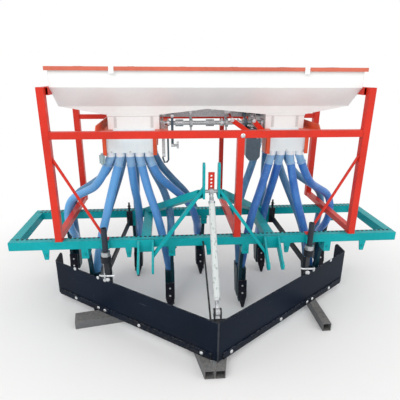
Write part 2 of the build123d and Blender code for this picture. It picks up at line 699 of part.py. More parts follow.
# Rails across the stand that the boxes sit on, with an upright leg on the outer ones
RAIL_FRONT_Y = FRONT_Y + (POST_SIDE + FRONT_BAR_SIDE) / 2
RAIL_BACK_Y = REAR_POST_Y - REAR_BAR_SIDE / 2
with BuildPart() as cross_rails:
    for box in BOXES:
        outer = math.copysign(1, box["box_x"])
        for side in (-1, 1):
            rail_x = box_edge(box, side) + side * (CROSS_RAIL_WIDTH / 2 - CROSS_RAIL_SEAT)
            start = backward(rail_x, RAIL_FRONT_Y, BOX_FOOT_Z - CROSS_RAIL_THICKNESS / 2)
            flat_bar(start, CROSS_RAIL_WIDTH, CROSS_RAIL_THICKNESS, RAIL_BACK_Y - RAIL_FRONT_Y)
            if side == outer:
                leg_x = rail_x + side * (CROSS_RAIL_WIDTH - CROSS_RAIL_THICKNESS) / 2
                with BuildSketch(lengthwise(leg_x - CROSS_RAIL_THICKNESS / 2, 0, 0)):
                    with BuildLine():
                        Polyline(
                            (RAIL_FRONT_Y, BOX_FOOT_Z),
                            (RAIL_FRONT_Y + CROSS_RAIL_SLOPE, BOX_FOOT_Z + CROSS_RAIL_LEG),
                            (RAIL_BACK_Y - CROSS_RAIL_SLOPE, BOX_FOOT_Z + CROSS_RAIL_LEG),
                            (RAIL_BACK_Y, BOX_FOOT_Z),
                            close=True,
                        )
                    make_face()
                extrude(amount=CROSS_RAIL_THICKNESS)
finish(cross_rails, "cross_rails")

# Cups and hoses, one pair for each row
BACK_CUP_Y = 2 * HOPPER_MID_Y - CUP_Y
CUPS_X = [box["first_cup_x"] + cup * box["cup_pitch"] for box in BOXES for cup in range(box["cups"])]
with BuildPart() as cups:
    for cup_x in CUPS_X:
        for cup_y in (CUP_Y, BACK_CUP_Y):
            round_bar(Plane((cup_x, cup_y, CUP_FOOT_Z)), CUP_RADIUS, CUP_HEIGHT)
finish(cups, "cups")

# Route of each hose below its cup, as setback-based points, down into its boot's mouth
FERTILIZER_ROUTES = (
    (
        (-655, 250, 260),
        (-800, 330, 150),
        (-912, 400, 62),
        (-909, 450, -80),
        (-915, 596, -225),
        (-942, 656, -335),
    ),
    ((-575, 188, 225), (-628, 160, 20), (-680, 172, -150), (-708, 194, -335)),
    ((-445, 250, 260), (-430, 365, 80), (-435, 445, -75), (-443, 596, -225), (-472, 656, -335)),
    ((-365, 195, 270), (-300, 172, 70), (-258, 170, -140), (-232, 194, -335)),
    (
        (-300, 235, 320),
        (-215, 290, 225),
        (-95, 370, 95),
        (-35, 445, -75),
        (-27, 596, -225),
        (2, 656, -335),
    ),
    ((345, 192, 255), (285, 170, 75), (256, 170, -120), (236, 194, -335)),
    ((430, 255, 255), (425, 365, 80), (432, 445, -75), (444, 596, -225), (472, 656, -335)),
    ((545, 190, 240), (605, 165, 40), (672, 172, -150), (707, 194, -335)),
    (
        (655, 250, 260),
        (800, 330, 150),
        (912, 400, 62),
        (909, 450, -80),
        (915, 596, -225),
        (942, 656, -335),
    ),
)
SEED_ROUTES = (
    ((-650, 570, 290), (-800, 588, 165), (-908, 605, 60), (-925, 640, -90), (-940, 713, -335)),
    ((-545, 515, 290), (-600, 420, 130), (-655, 320, -20), (-690, 262, -170), (-707, 247, -335)),
    ((-455, 575, 280), (-460, 590, 100), (-462, 612, -90), (-470, 713, -335)),
    ((-350, 520, 300), (-255, 440, 150), (-215, 335, 0), (-228, 262, -165), (-236, 247, -335)),
    ((-300, 572, 320), (-205, 585, 200), (-85, 600, 70), (-15, 625, -100), (0, 713, -335)),
    ((350, 520, 300), (255, 440, 150), (215, 335, 0), (228, 262, -165), (236, 247, -335)),
    ((455, 575, 280), (460, 590, 100), (462, 612, -90), (470, 713, -335)),
    ((545, 515, 290), (600, 420, 130), (655, 320, -20), (690, 262, -170), (707, 247, -335)),
    ((650, 570, 290), (800, 588, 165), (908, 605, 60), (925, 640, -90), (940, 713, -335)),
)


def hose_route(cup_x, cup_y, route):
    """Points of one hose from the foot of its sleeve, and the cup's foot above it."""
    cup = Vector(cup_x, cup_y, CUP_FOOT_Z)
    points = [Vector(x, FRONT_Y + y, FRAME_TOP + z) for x, y, z in route]
    leave = (points[0] - cup).normalized()
    return cup, [cup + leave * HOSE_SLEEVE_LENGTH, *points]


def hose_radii(points):
    """Largest bend radius that the runs beside each corner leave room for."""
    radii = []
    for before, corner, after in zip(points, points[1:], points[2:]):
        shorter = min((corner - before).length, (after - corner).length)
        turn = math.radians((corner - before).get_angle(after - corner))
        radii.append(BEND_RUN_SHARE * shorter / math.tan(turn / 2))
    return radii


def hose_set(cup_y, routes, name):
    """Builds one set of nine sleeves and hoses, and prints each hose's length and radii."""
    sleeves, hoses = [], []
    for row, (cup_x, route) in enumerate(zip(CUPS_X, routes), start=1):
        cup, points = hose_route(cup_x, cup_y, route)
        sleeves.append((cup, points[0]))
        radii = hose_radii(points)
        with BuildLine() as path:
            FilletPolyline(*points, radius=radii)
        hoses.append(path.wires()[0])
        length = round(path.wires()[0].length)
        print(name, row, "length", length, "radii", [round(radius) for radius in radii])
    return sleeves, hoses


hose_sets = {}
for name, cup_y, routes in (("fertilizer", CUP_Y, FERTILIZER_ROUTES), ("seed", BACK_CUP_Y, SEED_ROUTES)):
    hose_sets[name] = hose_set(cup_y, routes, name)

CUP_FLOOR = Plane((0, 0, CUP_FOOT_Z), z_dir=(0, 0, -1))
BOOT_CEILING = Plane((0, 0, BOOT_TOP_Z))
with BuildPart() as hose_sleeves:
    for sleeves, _ in hose_sets.values():
        for cup, foot in sleeves:
            above = cup + (cup - foot) * HOSE_SLEEVE_OVERRUN_SHARE
            round_bar(aimed(above, foot), HOSE_SLEEVE_RADIUS, span(above, foot), (CUP_FLOOR,))
finish(hose_sleeves, "hose_sleeves")

with BuildPart() as fertilizer_hoses:
    for path in hose_sets["fertilizer"][1]:
        with BuildSketch(Plane(path @ 0, z_dir=path % 0)) as section:
            Circle(HOSE_RADIUS)
        body = sweep(section.sketch, path=path, mode=Mode.PRIVATE)
        add(split(body, bisect_by=BOOT_CEILING, keep=Keep.TOP, mode=Mode.PRIVATE))
finish(fertilizer_hoses, "fertilizer_hoses")

with BuildPart() as seed_hoses:
    for path in hose_sets["seed"][1]:
        with BuildSketch(Plane(path @ 0, z_dir=path % 0)) as section:
            Circle(HOSE_RADIUS)
        body = sweep(section.sketch, path=path, mode=Mode.PRIVATE)
        add(split(body, bisect_by=BOOT_CEILING, keep=Keep.TOP, mode=Mode.PRIVATE))
finish(seed_hoses, "seed_hoses")

# Lid, hinged along the hopper's back
LID_TOP_Z = RIM_Z + LID_SEAT_GAP + LID_SHEET
LID_HALF = HOPPER_HALF + LID_OVERHANG
LID_DEPTH = HOPPER_DEPTH + 2 * LID_OVERHANG
with BuildPart() as lid:
    with BuildSketch(Plane((0, HOPPER_MID_Y, LID_TOP_Z - LID_RIM))):
        Rectangle(2 * LID_HALF, LID_DEPTH)
    extrude(amount=LID_RIM)
    with BuildSketch(Plane((0, HOPPER_MID_Y, LID_TOP_Z - LID_RIM))):
        Rectangle(2 * (LID_HALF - LID_SHEET), LID_DEPTH - 2 * LID_SHEET)
    extrude(amount=LID_RIM - LID_SHEET, mode=Mode.SUBTRACT)
finish(lid, "lid")

LID_BACK_Y = HOPPER_MID_Y + LID_DEPTH / 2
HINGE_Y = LID_BACK_Y + HINGE_RADIUS
HINGE_Z = LID_TOP_Z - LID_RIM - HINGE_RADIUS
with BuildPart() as lid_hinges:
    for hinge_x in HINGE_X:
        start = lengthwise(hinge_x - HINGE_FIXED_LENGTH / 2, HINGE_Y, HINGE_Z)
        round_bar(start, HINGE_RADIUS, HINGE_FIXED_LENGTH)
        arm_z = HINGE_Z - HINGE_RADIUS + HINGE_PLATE / 2
        arm = backward(hinge_x, HOPPER_BACK_Y, arm_z)
        flat_bar(arm, HINGE_FIXED_LENGTH, HINGE_PLATE, HINGE_Y - HOPPER_BACK_Y)
        pin_length = HINGE_FIXED_LENGTH + 2 * (HINGE_GAP + HINGE_LEAF_LENGTH)
        round_bar(lengthwise(hinge_x - pin_length / 2, HINGE_Y, HINGE_Z), HINGE_PIN, pin_length)
finish(lid_hinges, "lid_hinges")

with BuildPart() as lid_fittings:
    for hinge_x in HINGE_X:
        for side in (-1, 1):
            middle_x = hinge_x + side * ((HINGE_FIXED_LENGTH + HINGE_LEAF_LENGTH) / 2 + HINGE_GAP)
            with BuildSketch(lengthwise(middle_x - HINGE_LEAF_LENGTH / 2, HINGE_Y, HINGE_Z)):
                Circle(HINGE_RADIUS)
                with Locations((-HINGE_RADIUS + HINGE_PLATE / 2, (LID_RIM + HINGE_RADIUS) / 2)):
                    Rectangle(HINGE_PLATE, LID_RIM + HINGE_RADIUS)
                Circle(HINGE_PIN + RUNNING_GAP, mode=Mode.SUBTRACT)
            extrude(amount=HINGE_LEAF_LENGTH)
    for side in (-1, 1):
        start = forward(side * LATCH_X, HOPPER_MID_Y - LID_DEPTH / 2, LID_TOP_Z - LATCH_HEIGHT / 2)
        flat_bar(start, LATCH_WIDTH, LATCH_HEIGHT, LATCH_THICKNESS)
finish(lid_fittings, "lid_fittings")

# Feed shaft between the boxes
SHAFT_Y = (THROAT_FRONT_Y + THROAT_BACK_Y) / 2
SHAFT_Z = FRAME_TOP + SHAFT_RISE
SHAFT_START_X = box_edge(LEFT_BOX, 1) + SHAFT_END_GAP
SHAFT_LENGTH = box_edge(RIGHT_BOX, -1) - SHAFT_END_GAP - SHAFT_START_X
with BuildPart() as feed_shaft:
    round_bar(lengthwise(SHAFT_START_X, SHAFT_Y, SHAFT_Z), SHAFT_RADIUS, SHAFT_LENGTH)
    for coupling_x in COUPLING_X:
        start = lengthwise(coupling_x - COUPLING_LENGTH / 2, SHAFT_Y, SHAFT_Z)
        round_bar(start, COUPLING_RADIUS, COUPLING_LENGTH)
finish(feed_shaft, "feed_shaft")

GUARD_X = box_edge(RIGHT_BOX, -1) + CROSS_RAIL_SEAT - CROSS_RAIL_WIDTH - GUARD_WIDTH / 2
with BuildPart() as drive_sprocket:
    with BuildSketch(lengthwise(GUARD_X - SPROCKET_THICKNESS / 2, SHAFT_Y, SHAFT_Z)):
        Circle(SPROCKET_RADIUS)
        with PolarLocations(SPROCKET_RADIUS, SPROCKET_TEETH):
            Circle(SPROCKET_ROLLER, mode=Mode.SUBTRACT)
        Circle(SHAFT_RADIUS, mode=Mode.SUBTRACT)
    extrude(amount=SPROCKET_THICKNESS)
finish(drive_sprocket, "drive_sprocket")

with BuildPart() as shaft_bearings:
    for box, side in ((LEFT_BOX, 1), (RIGHT_BOX, -1)):
        bearing_x = box_edge(box, side) + side * BEARING_THICKNESS
        with BuildSketch(lengthwise(bearing_x - BEARING_THICKNESS / 2, SHAFT_Y, 0)):
            with Locations((0, SHAFT_Z)):
                Circle(BEARING_RADIUS)
            with Locations((0, (BOX_FOOT_Z + SHAFT_Z) / 2)):
                Rectangle(2 * BEARING_RADIUS, SHAFT_Z - BOX_FOOT_Z)
            with Locations((0, SHAFT_Z)):
                Circle(SHAFT_RADIUS + RUNNING_GAP, mode=Mode.SUBTRACT)
        extrude(amount=BEARING_THICKNESS)
finish(shaft_bearings, "shaft_bearings")

GUARD_FOOT_Z = FRAME_TOP + GUARD_FOOT_RISE
with BuildPart() as chain_guard:
    with BuildSketch(Plane((GUARD_X, SHAFT_Y, GUARD_FOOT_Z))):
        Rectangle(GUARD_WIDTH, GUARD_DEPTH)
    extrude(amount=BOX_FOOT_Z - GUARD_FOOT_Z)
    with BuildSketch(Plane((GUARD_X, SHAFT_Y, GUARD_FOOT_Z + GUARD_WALL))):
        Rectangle(GUARD_WIDTH - 2 * GUARD_WALL, GUARD_DEPTH - 2 * GUARD_WALL)
    extrude(amount=BOX_FOOT_Z - GUARD_FOOT_Z, mode=Mode.SUBTRACT)
finish(chain_guard, "chain_guard")

# Tines hang under both beams, odd rows at the back and even rows in front
ROWS = range(1, ROW_COUNT + 1)
CENTRE_ROW = (ROW_COUNT + 1) / 2


def row_x(row):
    """Place of a row across the drill."""
    return (row - CENTRE_ROW) * ROW_SPACING


def row_beam_y(row):
    """Middle of the beam that carries a row."""
    return REAR_BEAM_Y if row % 2 else FRONT_BEAM_Y


def shank_y(row):
    """Place of a row's shank at its clamp, along the drill."""
    setback = REAR_SHANK_SETBACK if row % 2 else FRONT_SHANK_SETBACK
    return row_beam_y(row) + setback


def hose_side(row):
    """Side of a row's shank on which its hose passes, 1 towards +X."""
    return 1 if row in HOSES_ON_THE_RIGHT else -1


def shank_x(row):
    """Middle of a row's shank, set off from the row to let the hose pass."""
    return row_x(row) - hose_side(row) * SHANK_SIDE


with BuildPart() as tine_shanks:
    for row in ROWS:
        with BuildSketch(lengthwise(shank_x(row) - SHANK_WIDTH / 2, 0, 0)) as section:
            centre_y = shank_y(row) + SHANK_BOW - SHANK_ARC
            foot_z = FRAME_TOP + SHANK_FOOT_RISE
            with Locations((centre_y, FRAME_TOP + SHANK_BOW_RISE)):
                Circle(SHANK_ARC + SHANK_DEPTH / 2)
                Circle(SHANK_ARC - SHANK_DEPTH / 2, mode=Mode.SUBTRACT)
            with Locations((centre_y + SHANK_ARC, (FRAME_FOOT + foot_z) / 2)):
                Rectangle(SHANK_ARC, FRAME_FOOT - foot_z, mode=Mode.INTERSECT)
        extrude(amount=SHANK_WIDTH)
finish(tine_shanks, "tine_shanks")


def row_lug(middle_x, beam_y):
    """Tapered lug under the front of a beam, for the part being built."""
    half = CLAMP_WIDTH / 2
    tip = half * CLAMP_TIP_SHARE
    face = forward(middle_x, beam_y - BEAM_SIDE / 2 + CLAMP_PLATE, FRAME_FOOT)
    with BuildSketch(face) as lug:
        with BuildLine() as edge:
            Polyline((-half, 0), (-tip, -CLAMP_DROP), (tip, -CLAMP_DROP), (half, 0), close=True)
        make_face(edge.edges())
    extrude(to_extrude=lug.sketch, amount=CLAMP_PLATE)


with BuildPart() as row_clamps:
    for row in ROWS:
        row_lug(shank_x(row), row_beam_y(row))
        front_y = row_beam_y(row) - BEAM_SIDE / 2
        back_y = shank_y(row) + SHANK_DEPTH / 2 + CHEEK_LAP
        for side in (-1, 1):
            cheek_x = shank_x(row) + side * (SHANK_WIDTH + CLAMP_PLATE) / 2
            with BuildSketch(lengthwise(cheek_x - CLAMP_PLATE / 2, 0, FRAME_FOOT)):
                with BuildLine():
                    Polyline(
                        (front_y, 0),
                        (front_y, -CLAMP_DROP),
                        (front_y + (back_y - front_y) * CHEEK_FOOT_SHARE, -CLAMP_DROP),
                        (back_y, -CLAMP_DROP * CLAMP_TIP_SHARE),
                        (back_y, 0),
                        close=True,
                    )
                make_face()
            extrude(amount=CLAMP_PLATE)
        if row % 2:
            row_lug(row_x(row), FRONT_BEAM_Y)
finish(row_clamps, "row_clamps")

BOOT_FOOT_Z = FRAME_TOP + BOOT_FOOT_RISE
with BuildPart() as boots:
    for row in ROWS:
        arc_y = shank_y(row) + SHANK_BOW - SHANK_ARC
        first_y = shank_y(row) + BOOT_INLET_SETBACK
        back_y = first_y + BOOT_INLET_PITCH + HOSE_RADIUS + BOOT_MARGIN
        foot_back_y = first_y + (back_y - first_y) * BOOT_FOOT_SHARE
        with BuildSketch(lengthwise(row_x(row) - BOOT_WIDTH / 2, 0, 0)):
            with BuildLine():
                Polyline(
                    (arc_y + SHANK_ARC, BOOT_TOP_Z),
                    (back_y, BOOT_TOP_Z),
                    (back_y, BOOT_TOP_Z - HOSE_RADIUS),
                    (foot_back_y, BOOT_FOOT_Z),
                    (arc_y + SHANK_ARC - SHANK_DEPTH, BOOT_FOOT_Z),
                    close=True,
                )
            make_face()
            with Locations((arc_y, FRAME_TOP + SHANK_BOW_RISE)):
                Circle(SHANK_ARC + SHANK_DEPTH / 2, mode=Mode.SUBTRACT)
        extrude(amount=BOOT_WIDTH)
finish(boots, "boots")

SHOVEL_TOP_Z = FRAME_TOP + SHOVEL_TOP_RISE
with BuildPart() as shovels:
    for row in ROWS:
        arc_y = shank_y(row) + SHANK_BOW - SHANK_ARC
        inner = SHANK_ARC - SHANK_DEPTH / 2 - SHOVEL_THICKNESS
        with BuildSketch(lengthwise(row_x(row) - SHOVEL_WIDTH / 2, 0, 0)) as section:
            with Locations((arc_y, FRAME_TOP + SHANK_BOW_RISE)):
                Circle(inner + SHOVEL_THICKNESS)
                Circle(inner, mode=Mode.SUBTRACT)
            with Locations((arc_y + SHANK_ARC, SHOVEL_TOP_Z / 2)):
                Rectangle(SHANK_ARC, SHOVEL_TOP_Z, mode=Mode.INTERSECT)
        blank = extrude(to_extrude=section.sketch, amount=SHOVEL_WIDTH, mode=Mode.PRIVATE)
        with BuildSketch(forward(row_x(row), arc_y + 2 * SHANK_ARC, 0)) as outline:
            with BuildLine() as edge:
                Polyline(
                    (-SHOVEL_WIDTH / 2, SHOVEL_TOP_Z),
                    (-SHOVEL_WIDTH / 2, SHOVEL_TOP_Z * SHOVEL_POINT_SHARE),
                    (-SHOVEL_TIP / 2, 0),
                    (SHOVEL_TIP / 2, 0),
                    (SHOVEL_WIDTH / 2, SHOVEL_TOP_Z * SHOVEL_POINT_SHARE),
                    (SHOVEL_WIDTH / 2, SHOVEL_TOP_Z),
                    close=True,
                )
            make_face(edge.edges())
        cutter = extrude(to_extrude=outline.sketch, amount=2 * SHANK_ARC, mode=Mode.PRIVATE)
        add(blank & cutter)
finish(shovels, "shovels")

# Levelling blade, a V of two wings that meet at the point
WING_ANGLE = math.atan2(BLADE_END_Y - BLADE_APEX_Y, BLADE_HALF_SPAN)
WING_ALONG = Vector(math.cos(WING_ANGLE), math.sin(WING_ANGLE), 0)
WING_OUT = Vector(math.sin(WING_ANGLE), -math.cos(WING_ANGLE), 0)
WING_LENGTH = math.hypot(BLADE_HALF_SPAN, BLADE_END_Y - BLADE_APEX_Y)
WING_FACE = Plane((0, BLADE_APEX_Y, 0), x_dir=WING_ALONG, z_dir=WING_OUT)
WING_BACK = WING_FACE.offset(-BLADE_SHEET)
with BuildPart() as blade_wing_right:
    with BuildSketch(Plane((0, 0, BLADE_LIFT))):
        with BuildLine():
            FilletPolyline(
                (0, BLADE_APEX_Y),
                (BLADE_HALF_SPAN, BLADE_END_Y),
                (BLADE_HALF_SPAN, BLADE_END_Y + BLADE_RETURN),
                radius=BLADE_BEND,
            )
            offset(amount=BLADE_SHEET, side=Side.LEFT)
        make_face()
    extrude(amount=BLADE_HEIGHT)
    split(bisect_by=SIDES, keep=Keep.TOP)
    rear_corners = blade_wing_right.edges().filter_by(Axis.X).group_by(Axis.Y)[-1]
    fillet(rear_corners, radius=BLADE_CORNER)
finish(blade_wing_right, "blade_wing_right")

with BuildPart() as blade_wing_left:
    mirror(blade_wing_right.part, about=SIDES)
finish(blade_wing_left, "blade_wing_left")

with BuildPart() as blade_strips:
    strip_length = WING_LENGTH - STRIP_APEX_GAP - BLADE_BEND
    with BuildSketch(WING_FACE):
        with Locations((STRIP_APEX_GAP + strip_length / 2, BLADE_LIFT + STRIP_HEIGHT / 2)):
            Rectangle(strip_length, STRIP_HEIGHT)
    extrude(amount=STRIP_THICKNESS)
    mirror(about=SIDES)
finish(blade_strips, "blade_strips")

# Hangers that hold the blade's wings under the front beam
HANGER_Y = FRONT_Y - CRADLE_REACH
COLLAR_TOP_Z = FRAME_TOP + HANGER_FOOT_RISE
COLLAR_FOOT_Z = COLLAR_TOP_Z - COLLAR_HEIGHT
SLEEVE_FOOT_Z = COLLAR_FOOT_Z - SLEEVE_BODY_HEIGHT
with BuildPart() as hanger_cradles:
    with BuildSketch(Plane((HANGER_X, HANGER_Y, BEAM_Z - CRADLE_HEIGHT / 2))):
        with Locations((0, CRADLE_REACH / 2)):
            Rectangle(CRADLE_WIDTH, CRADLE_REACH)
        Circle(HANGER_RADIUS, mode=Mode.SUBTRACT)
    extrude(amount=CRADLE_HEIGHT)
    mirror(about=SIDES)
finish(hanger_cradles, "hanger_cradles")

with BuildPart() as hanger_pipes:
    start = Plane((HANGER_X, HANGER_Y, COLLAR_TOP_Z))
    bore = HANGER_RADIUS - HANGER_WALL
    round_bar(start, HANGER_RADIUS, HANGER_TOP_RISE - HANGER_FOOT_RISE, bore=bore)
    mirror(about=SIDES)
finish(hanger_pipes, "hanger_pipes")

with BuildPart() as hanger_collars:
    round_bar(Plane((HANGER_X, HANGER_Y, COLLAR_FOOT_Z)), COLLAR_RADIUS, COLLAR_HEIGHT)
    mirror(about=SIDES)
finish(hanger_collars, "hanger_collars")

FORK_FOOT_Z = FRAME_TOP + FORK_FOOT_RISE
STRAP_TOP_Z = FRAME_TOP + STRAP_TOP_RISE
STRAP_FOOT_Z = FRAME_TOP + STRAP_FOOT_RISE
HANGER_ALONG = HANGER_X / math.cos(WING_ANGLE)
with BuildPart() as hanger_sleeves:
    round_bar(Plane((HANGER_X, HANGER_Y, SLEEVE_FOOT_Z)), SLEEVE_BODY_RADIUS, SLEEVE_BODY_HEIGHT)
    with BuildSketch(WING_BACK):
        with Locations((HANGER_ALONG, (SLEEVE_FOOT_Z + FORK_FOOT_Z) / 2)):
            Rectangle(FORK_WIDTH, SLEEVE_FOOT_Z - FORK_FOOT_Z)
    extrude(amount=FORK_PLATE)
    mirror(about=SIDES)
finish(hanger_sleeves, "hanger_sleeves")

with BuildPart() as blade_straps:
    with BuildSketch(WING_BACK):
        with Locations((HANGER_ALONG, (STRAP_TOP_Z + STRAP_FOOT_Z) / 2)):
            RectangleRounded(STRAP_WIDTH, STRAP_TOP_Z - STRAP_FOOT_Z, STRAP_THICKNESS)
    extrude(amount=-STRAP_THICKNESS)
    mirror(about=SIDES)
finish(blade_straps, "blade_straps")

STAY_PLATE_Y = REAR_FACE_Y - STAY_THICKNESS
with BuildPart() as blade_stays:
    strap_back = WING_FACE.offset(-BLADE_SHEET - STRAP_THICKNESS)
    away = Plane(strap_back.origin, x_dir=strap_back.x_dir, z_dir=-strap_back.z_dir)
    lug_point = strap_back.from_local_coords((HANGER_ALONG, FRAME_TOP + STAY_FRONT_RISE, 0))
    rear_point = Vector(STAY_REAR_X, STAY_PLATE_Y, FRAME_TOP + STAY_REAR_RISE)
    reach = (rear_point - lug_point).normalized() * STAY_WIDTH
    start, end = lug_point - reach, rear_point + reach
    trims = (away, forward(0, STAY_PLATE_Y, 0))
    flat_bar(aimed(start, end), STAY_THICKNESS, STAY_WIDTH, span(start, end), trims)
    with BuildSketch(forward(STAY_REAR_X, REAR_FACE_Y, FRAME_TOP - STAY_PLATE_HEIGHT / 2)):
        Rectangle(STAY_WIDTH, STAY_PLATE_HEIGHT)
    extrude(amount=STAY_THICKNESS)
    rod_start = Plane((STAY_REAR_X, REAR_FACE_Y - STAY_THICKNESS / 2, FRAME_TOP))
    round_bar(rod_start, STAY_ROD_RADIUS, STAY_ROD_HEIGHT)
    mirror(about=SIDES)
finish(blade_stays, "blade_stays")

# Turnbuckle from the mast to the blade's point
LINK_HEAD = Vector(0, MAST_Y, FRAME_TOP + LINK_HEAD_RISE)
LINK_FOOT = Vector(0, FRONT_Y - LINK_FOOT_REACH, FRAME_TOP + LINK_FOOT_RISE)
LINK_AXIS = (LINK_FOOT - LINK_HEAD).normalized()
LUG_INNER_X = MAST_LUG_X - MAST_LUG / 2
with BuildPart() as link_pins:
    round_bar(lengthwise(-LUG_INNER_X, MAST_Y, LINK_HEAD.Z), LINK_PIN_RADIUS, 2 * LUG_INNER_X)
    pin_half = EYE_THICKNESS / 2 + CLEVIS_GAP + CLEVIS_PLATE
    round_bar(lengthwise(-pin_half, LINK_FOOT.Y, LINK_FOOT.Z), LINK_PIN_RADIUS, 2 * pin_half)
finish(link_pins, "link_pins")

with BuildPart() as link_eyes:
    for eye, toward in ((LINK_HEAD, LINK_FOOT), (LINK_FOOT, LINK_HEAD)):
        round_bar(lengthwise(-EYE_THICKNESS / 2, eye.Y, eye.Z), EYE_RADIUS, EYE_THICKNESS)
        round_bar(aimed(eye, toward), LINK_ROD_RADIUS, LINK_ROD_LENGTH)
    for eye in (LINK_HEAD, LINK_FOOT):
        start = lengthwise(-EYE_THICKNESS / 2, eye.Y, eye.Z)
        with BuildSketch(start) as bore:
            Circle(LINK_PIN_RADIUS)
        extrude(to_extrude=bore.sketch, amount=EYE_THICKNESS, mode=Mode.SUBTRACT)
finish(link_eyes, "link_eyes")

with BuildPart() as turnbuckle:
    tube_head = LINK_HEAD + LINK_AXIS * LINK_ROD_LENGTH
    tube_length = span(LINK_HEAD, LINK_FOOT) - 2 * LINK_ROD_LENGTH
    round_bar(aimed(tube_head, LINK_FOOT), LINK_TUBE_RADIUS, tube_length)
finish(turnbuckle, "turnbuckle")

WING_INNER_Y = BLADE_APEX_Y + BLADE_SHEET / math.cos(WING_ANGLE)
GUSSET_DEPTH = GUSSET_WIDTH * math.tan(WING_ANGLE)
PLATE_INNER_X = EYE_THICKNESS / 2 + CLEVIS_GAP
with BuildPart() as turnbuckle_clevis:
    with BuildSketch(Plane((0, WING_INNER_Y, BLADE_TOP_Z - GUSSET_HEIGHT))):
        with BuildLine():
            Polyline((0, 0), (GUSSET_WIDTH, GUSSET_DEPTH), (-GUSSET_WIDTH, GUSSET_DEPTH), close=True)
        make_face()
    extrude(amount=GUSSET_HEIGHT)
    with BuildSketch(lengthwise(PLATE_INNER_X, LINK_FOOT.Y, 0)):
        with Locations((0, (LINK_FOOT.Z + BLADE_TOP_Z) / 2)):
            Rectangle(2 * EYE_RADIUS, LINK_FOOT.Z - BLADE_TOP_Z)
        with Locations((0, LINK_FOOT.Z)):
            Circle(EYE_RADIUS)
            Circle(LINK_PIN_RADIUS, mode=Mode.SUBTRACT)
    plate = extrude(amount=CLEVIS_PLATE)
    mirror(plate, about=SIDES)
finish(turnbuckle_clevis, "turnbuckle_clevis")

ADJUSTER_FOOT_Z = LINK_HEAD.Z + LINK_PIN_RADIUS
with BuildPart() as adjuster_bar:
    with BuildSketch(forward(0, MAST_Y + ADJUSTER_THICKNESS / 2, ADJUSTER_FOOT_Z)):
        with Locations((0, ADJUSTER_LENGTH / 2)):
            Rectangle(ADJUSTER_WIDTH, ADJUSTER_LENGTH)
        pitch = ADJUSTER_LENGTH / (ADJUSTER_HOLES + 1)
        for hole in range(1, ADJUSTER_HOLES + 1):
            with Locations((0, hole * pitch)):
                Circle(ADJUSTER_HOLE, mode=Mode.SUBTRACT)
    extrude(amount=ADJUSTER_THICKNESS)
    with BuildSketch(lengthwise(-EYE_THICKNESS / 2, MAST_Y, LINK_HEAD.Z)):
        Circle(EYE_RADIUS)
    extrude(amount=EYE_THICKNESS, mode=Mode.SUBTRACT)
finish(adjuster_bar, "adjuster_bar")

with BuildPart() as centre_rod:
    head = Vector(-CENTRE_ROD_X, FRONT_Y, BEAM_Z)
    foot = Vector(-CENTRE_ROD_X, WING_INNER_Y + GUSSET_DEPTH, BLADE_TOP_Z)
    overrun = (head - foot).normalized() * GUSSET_WIDTH
    trims = (forward(0, FRONT_Y, 0), Plane((0, 0, BLADE_TOP_Z)))
    start, end = head + overrun, foot - overrun
    round_bar(aimed(start, end), CENTRE_ROD_RADIUS, span(start, end), trims)
finish(centre_rod, "centre_rod")

# Tubes lying on the ground under the blade
with BuildPart() as floor_supports:
    side_start = backward(SIDE_SUPPORT_X, FRONT_Y - SIDE_SUPPORT_REACH, SUPPORT_SIDE / 2)
    square_tube(side_start, SUPPORT_SIDE, SUPPORT_WALL, SIDE_SUPPORT_LENGTH)
    left_start = (LEFT_SUPPORT_X, FRONT_Y + LEFT_SUPPORT_SETBACK, SUPPORT_SIDE / 2)
    left_rise = LEFT_SUPPORT_LENGTH * math.sin(math.radians(LEFT_SUPPORT_TURN))
    left_end = (LEFT_SUPPORT_X + LEFT_SUPPORT_LENGTH, left_start[1] + left_rise, SUPPORT_SIDE / 2)
    start = aimed(left_start, left_end, (0, 0, 1))
    left_length = span(left_start, left_end)
    square_tube(start, SUPPORT_SIDE, SUPPORT_WALL, left_length, width=LEFT_SUPPORT_WIDTH)
    turn = math.radians(POINT_SUPPORT_TURN)
    for side in (-1, 1):
        way = Vector(side * math.sin(turn), math.cos(turn), 0)
        foot_x = POINT_SUPPORT_SHIFT + side * POINT_SUPPORT_X
        front = Vector(foot_x, FRONT_Y - SUPPORT_REACH, SUPPORT_SIDE / 2)
        start, end = front - way * SUPPORT_SIDE, front + way * POINT_SUPPORT_LENGTH
        trims = (backward(0, FRONT_Y - SUPPORT_REACH, 0),)
        square_tube(aimed(start, end, (0, 0, 1)), SUPPORT_SIDE, SUPPORT_WALL, span(start, end), trims)
finish(floor_supports, "floor_supports")
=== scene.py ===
import logging
import math
import random
from dataclasses import dataclass
from enum import Enum
from functools import cache
from typing import Any, Iterator, Sequence, Union

import bmesh
import bpy
from mathutils import Matrix, Vector


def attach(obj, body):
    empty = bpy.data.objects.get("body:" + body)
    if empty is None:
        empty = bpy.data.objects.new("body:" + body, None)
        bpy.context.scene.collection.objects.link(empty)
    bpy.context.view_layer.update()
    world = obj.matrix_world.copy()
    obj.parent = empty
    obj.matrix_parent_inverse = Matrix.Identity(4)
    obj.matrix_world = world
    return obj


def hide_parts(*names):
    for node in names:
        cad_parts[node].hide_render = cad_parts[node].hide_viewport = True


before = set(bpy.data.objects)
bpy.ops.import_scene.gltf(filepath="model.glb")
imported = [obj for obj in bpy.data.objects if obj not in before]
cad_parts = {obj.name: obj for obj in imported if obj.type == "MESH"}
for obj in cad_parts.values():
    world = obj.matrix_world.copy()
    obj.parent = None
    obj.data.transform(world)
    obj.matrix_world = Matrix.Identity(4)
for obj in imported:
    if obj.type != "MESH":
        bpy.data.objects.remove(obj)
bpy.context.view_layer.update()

log = logging.getLogger("seed_fertilizer_drill")

Colour = tuple[float, float, float]
Point = tuple[float, float, float]
Outline = Sequence[tuple[float, float]]
Value = Union["Wire", float, Sequence[float], bpy.types.NodeSocket]

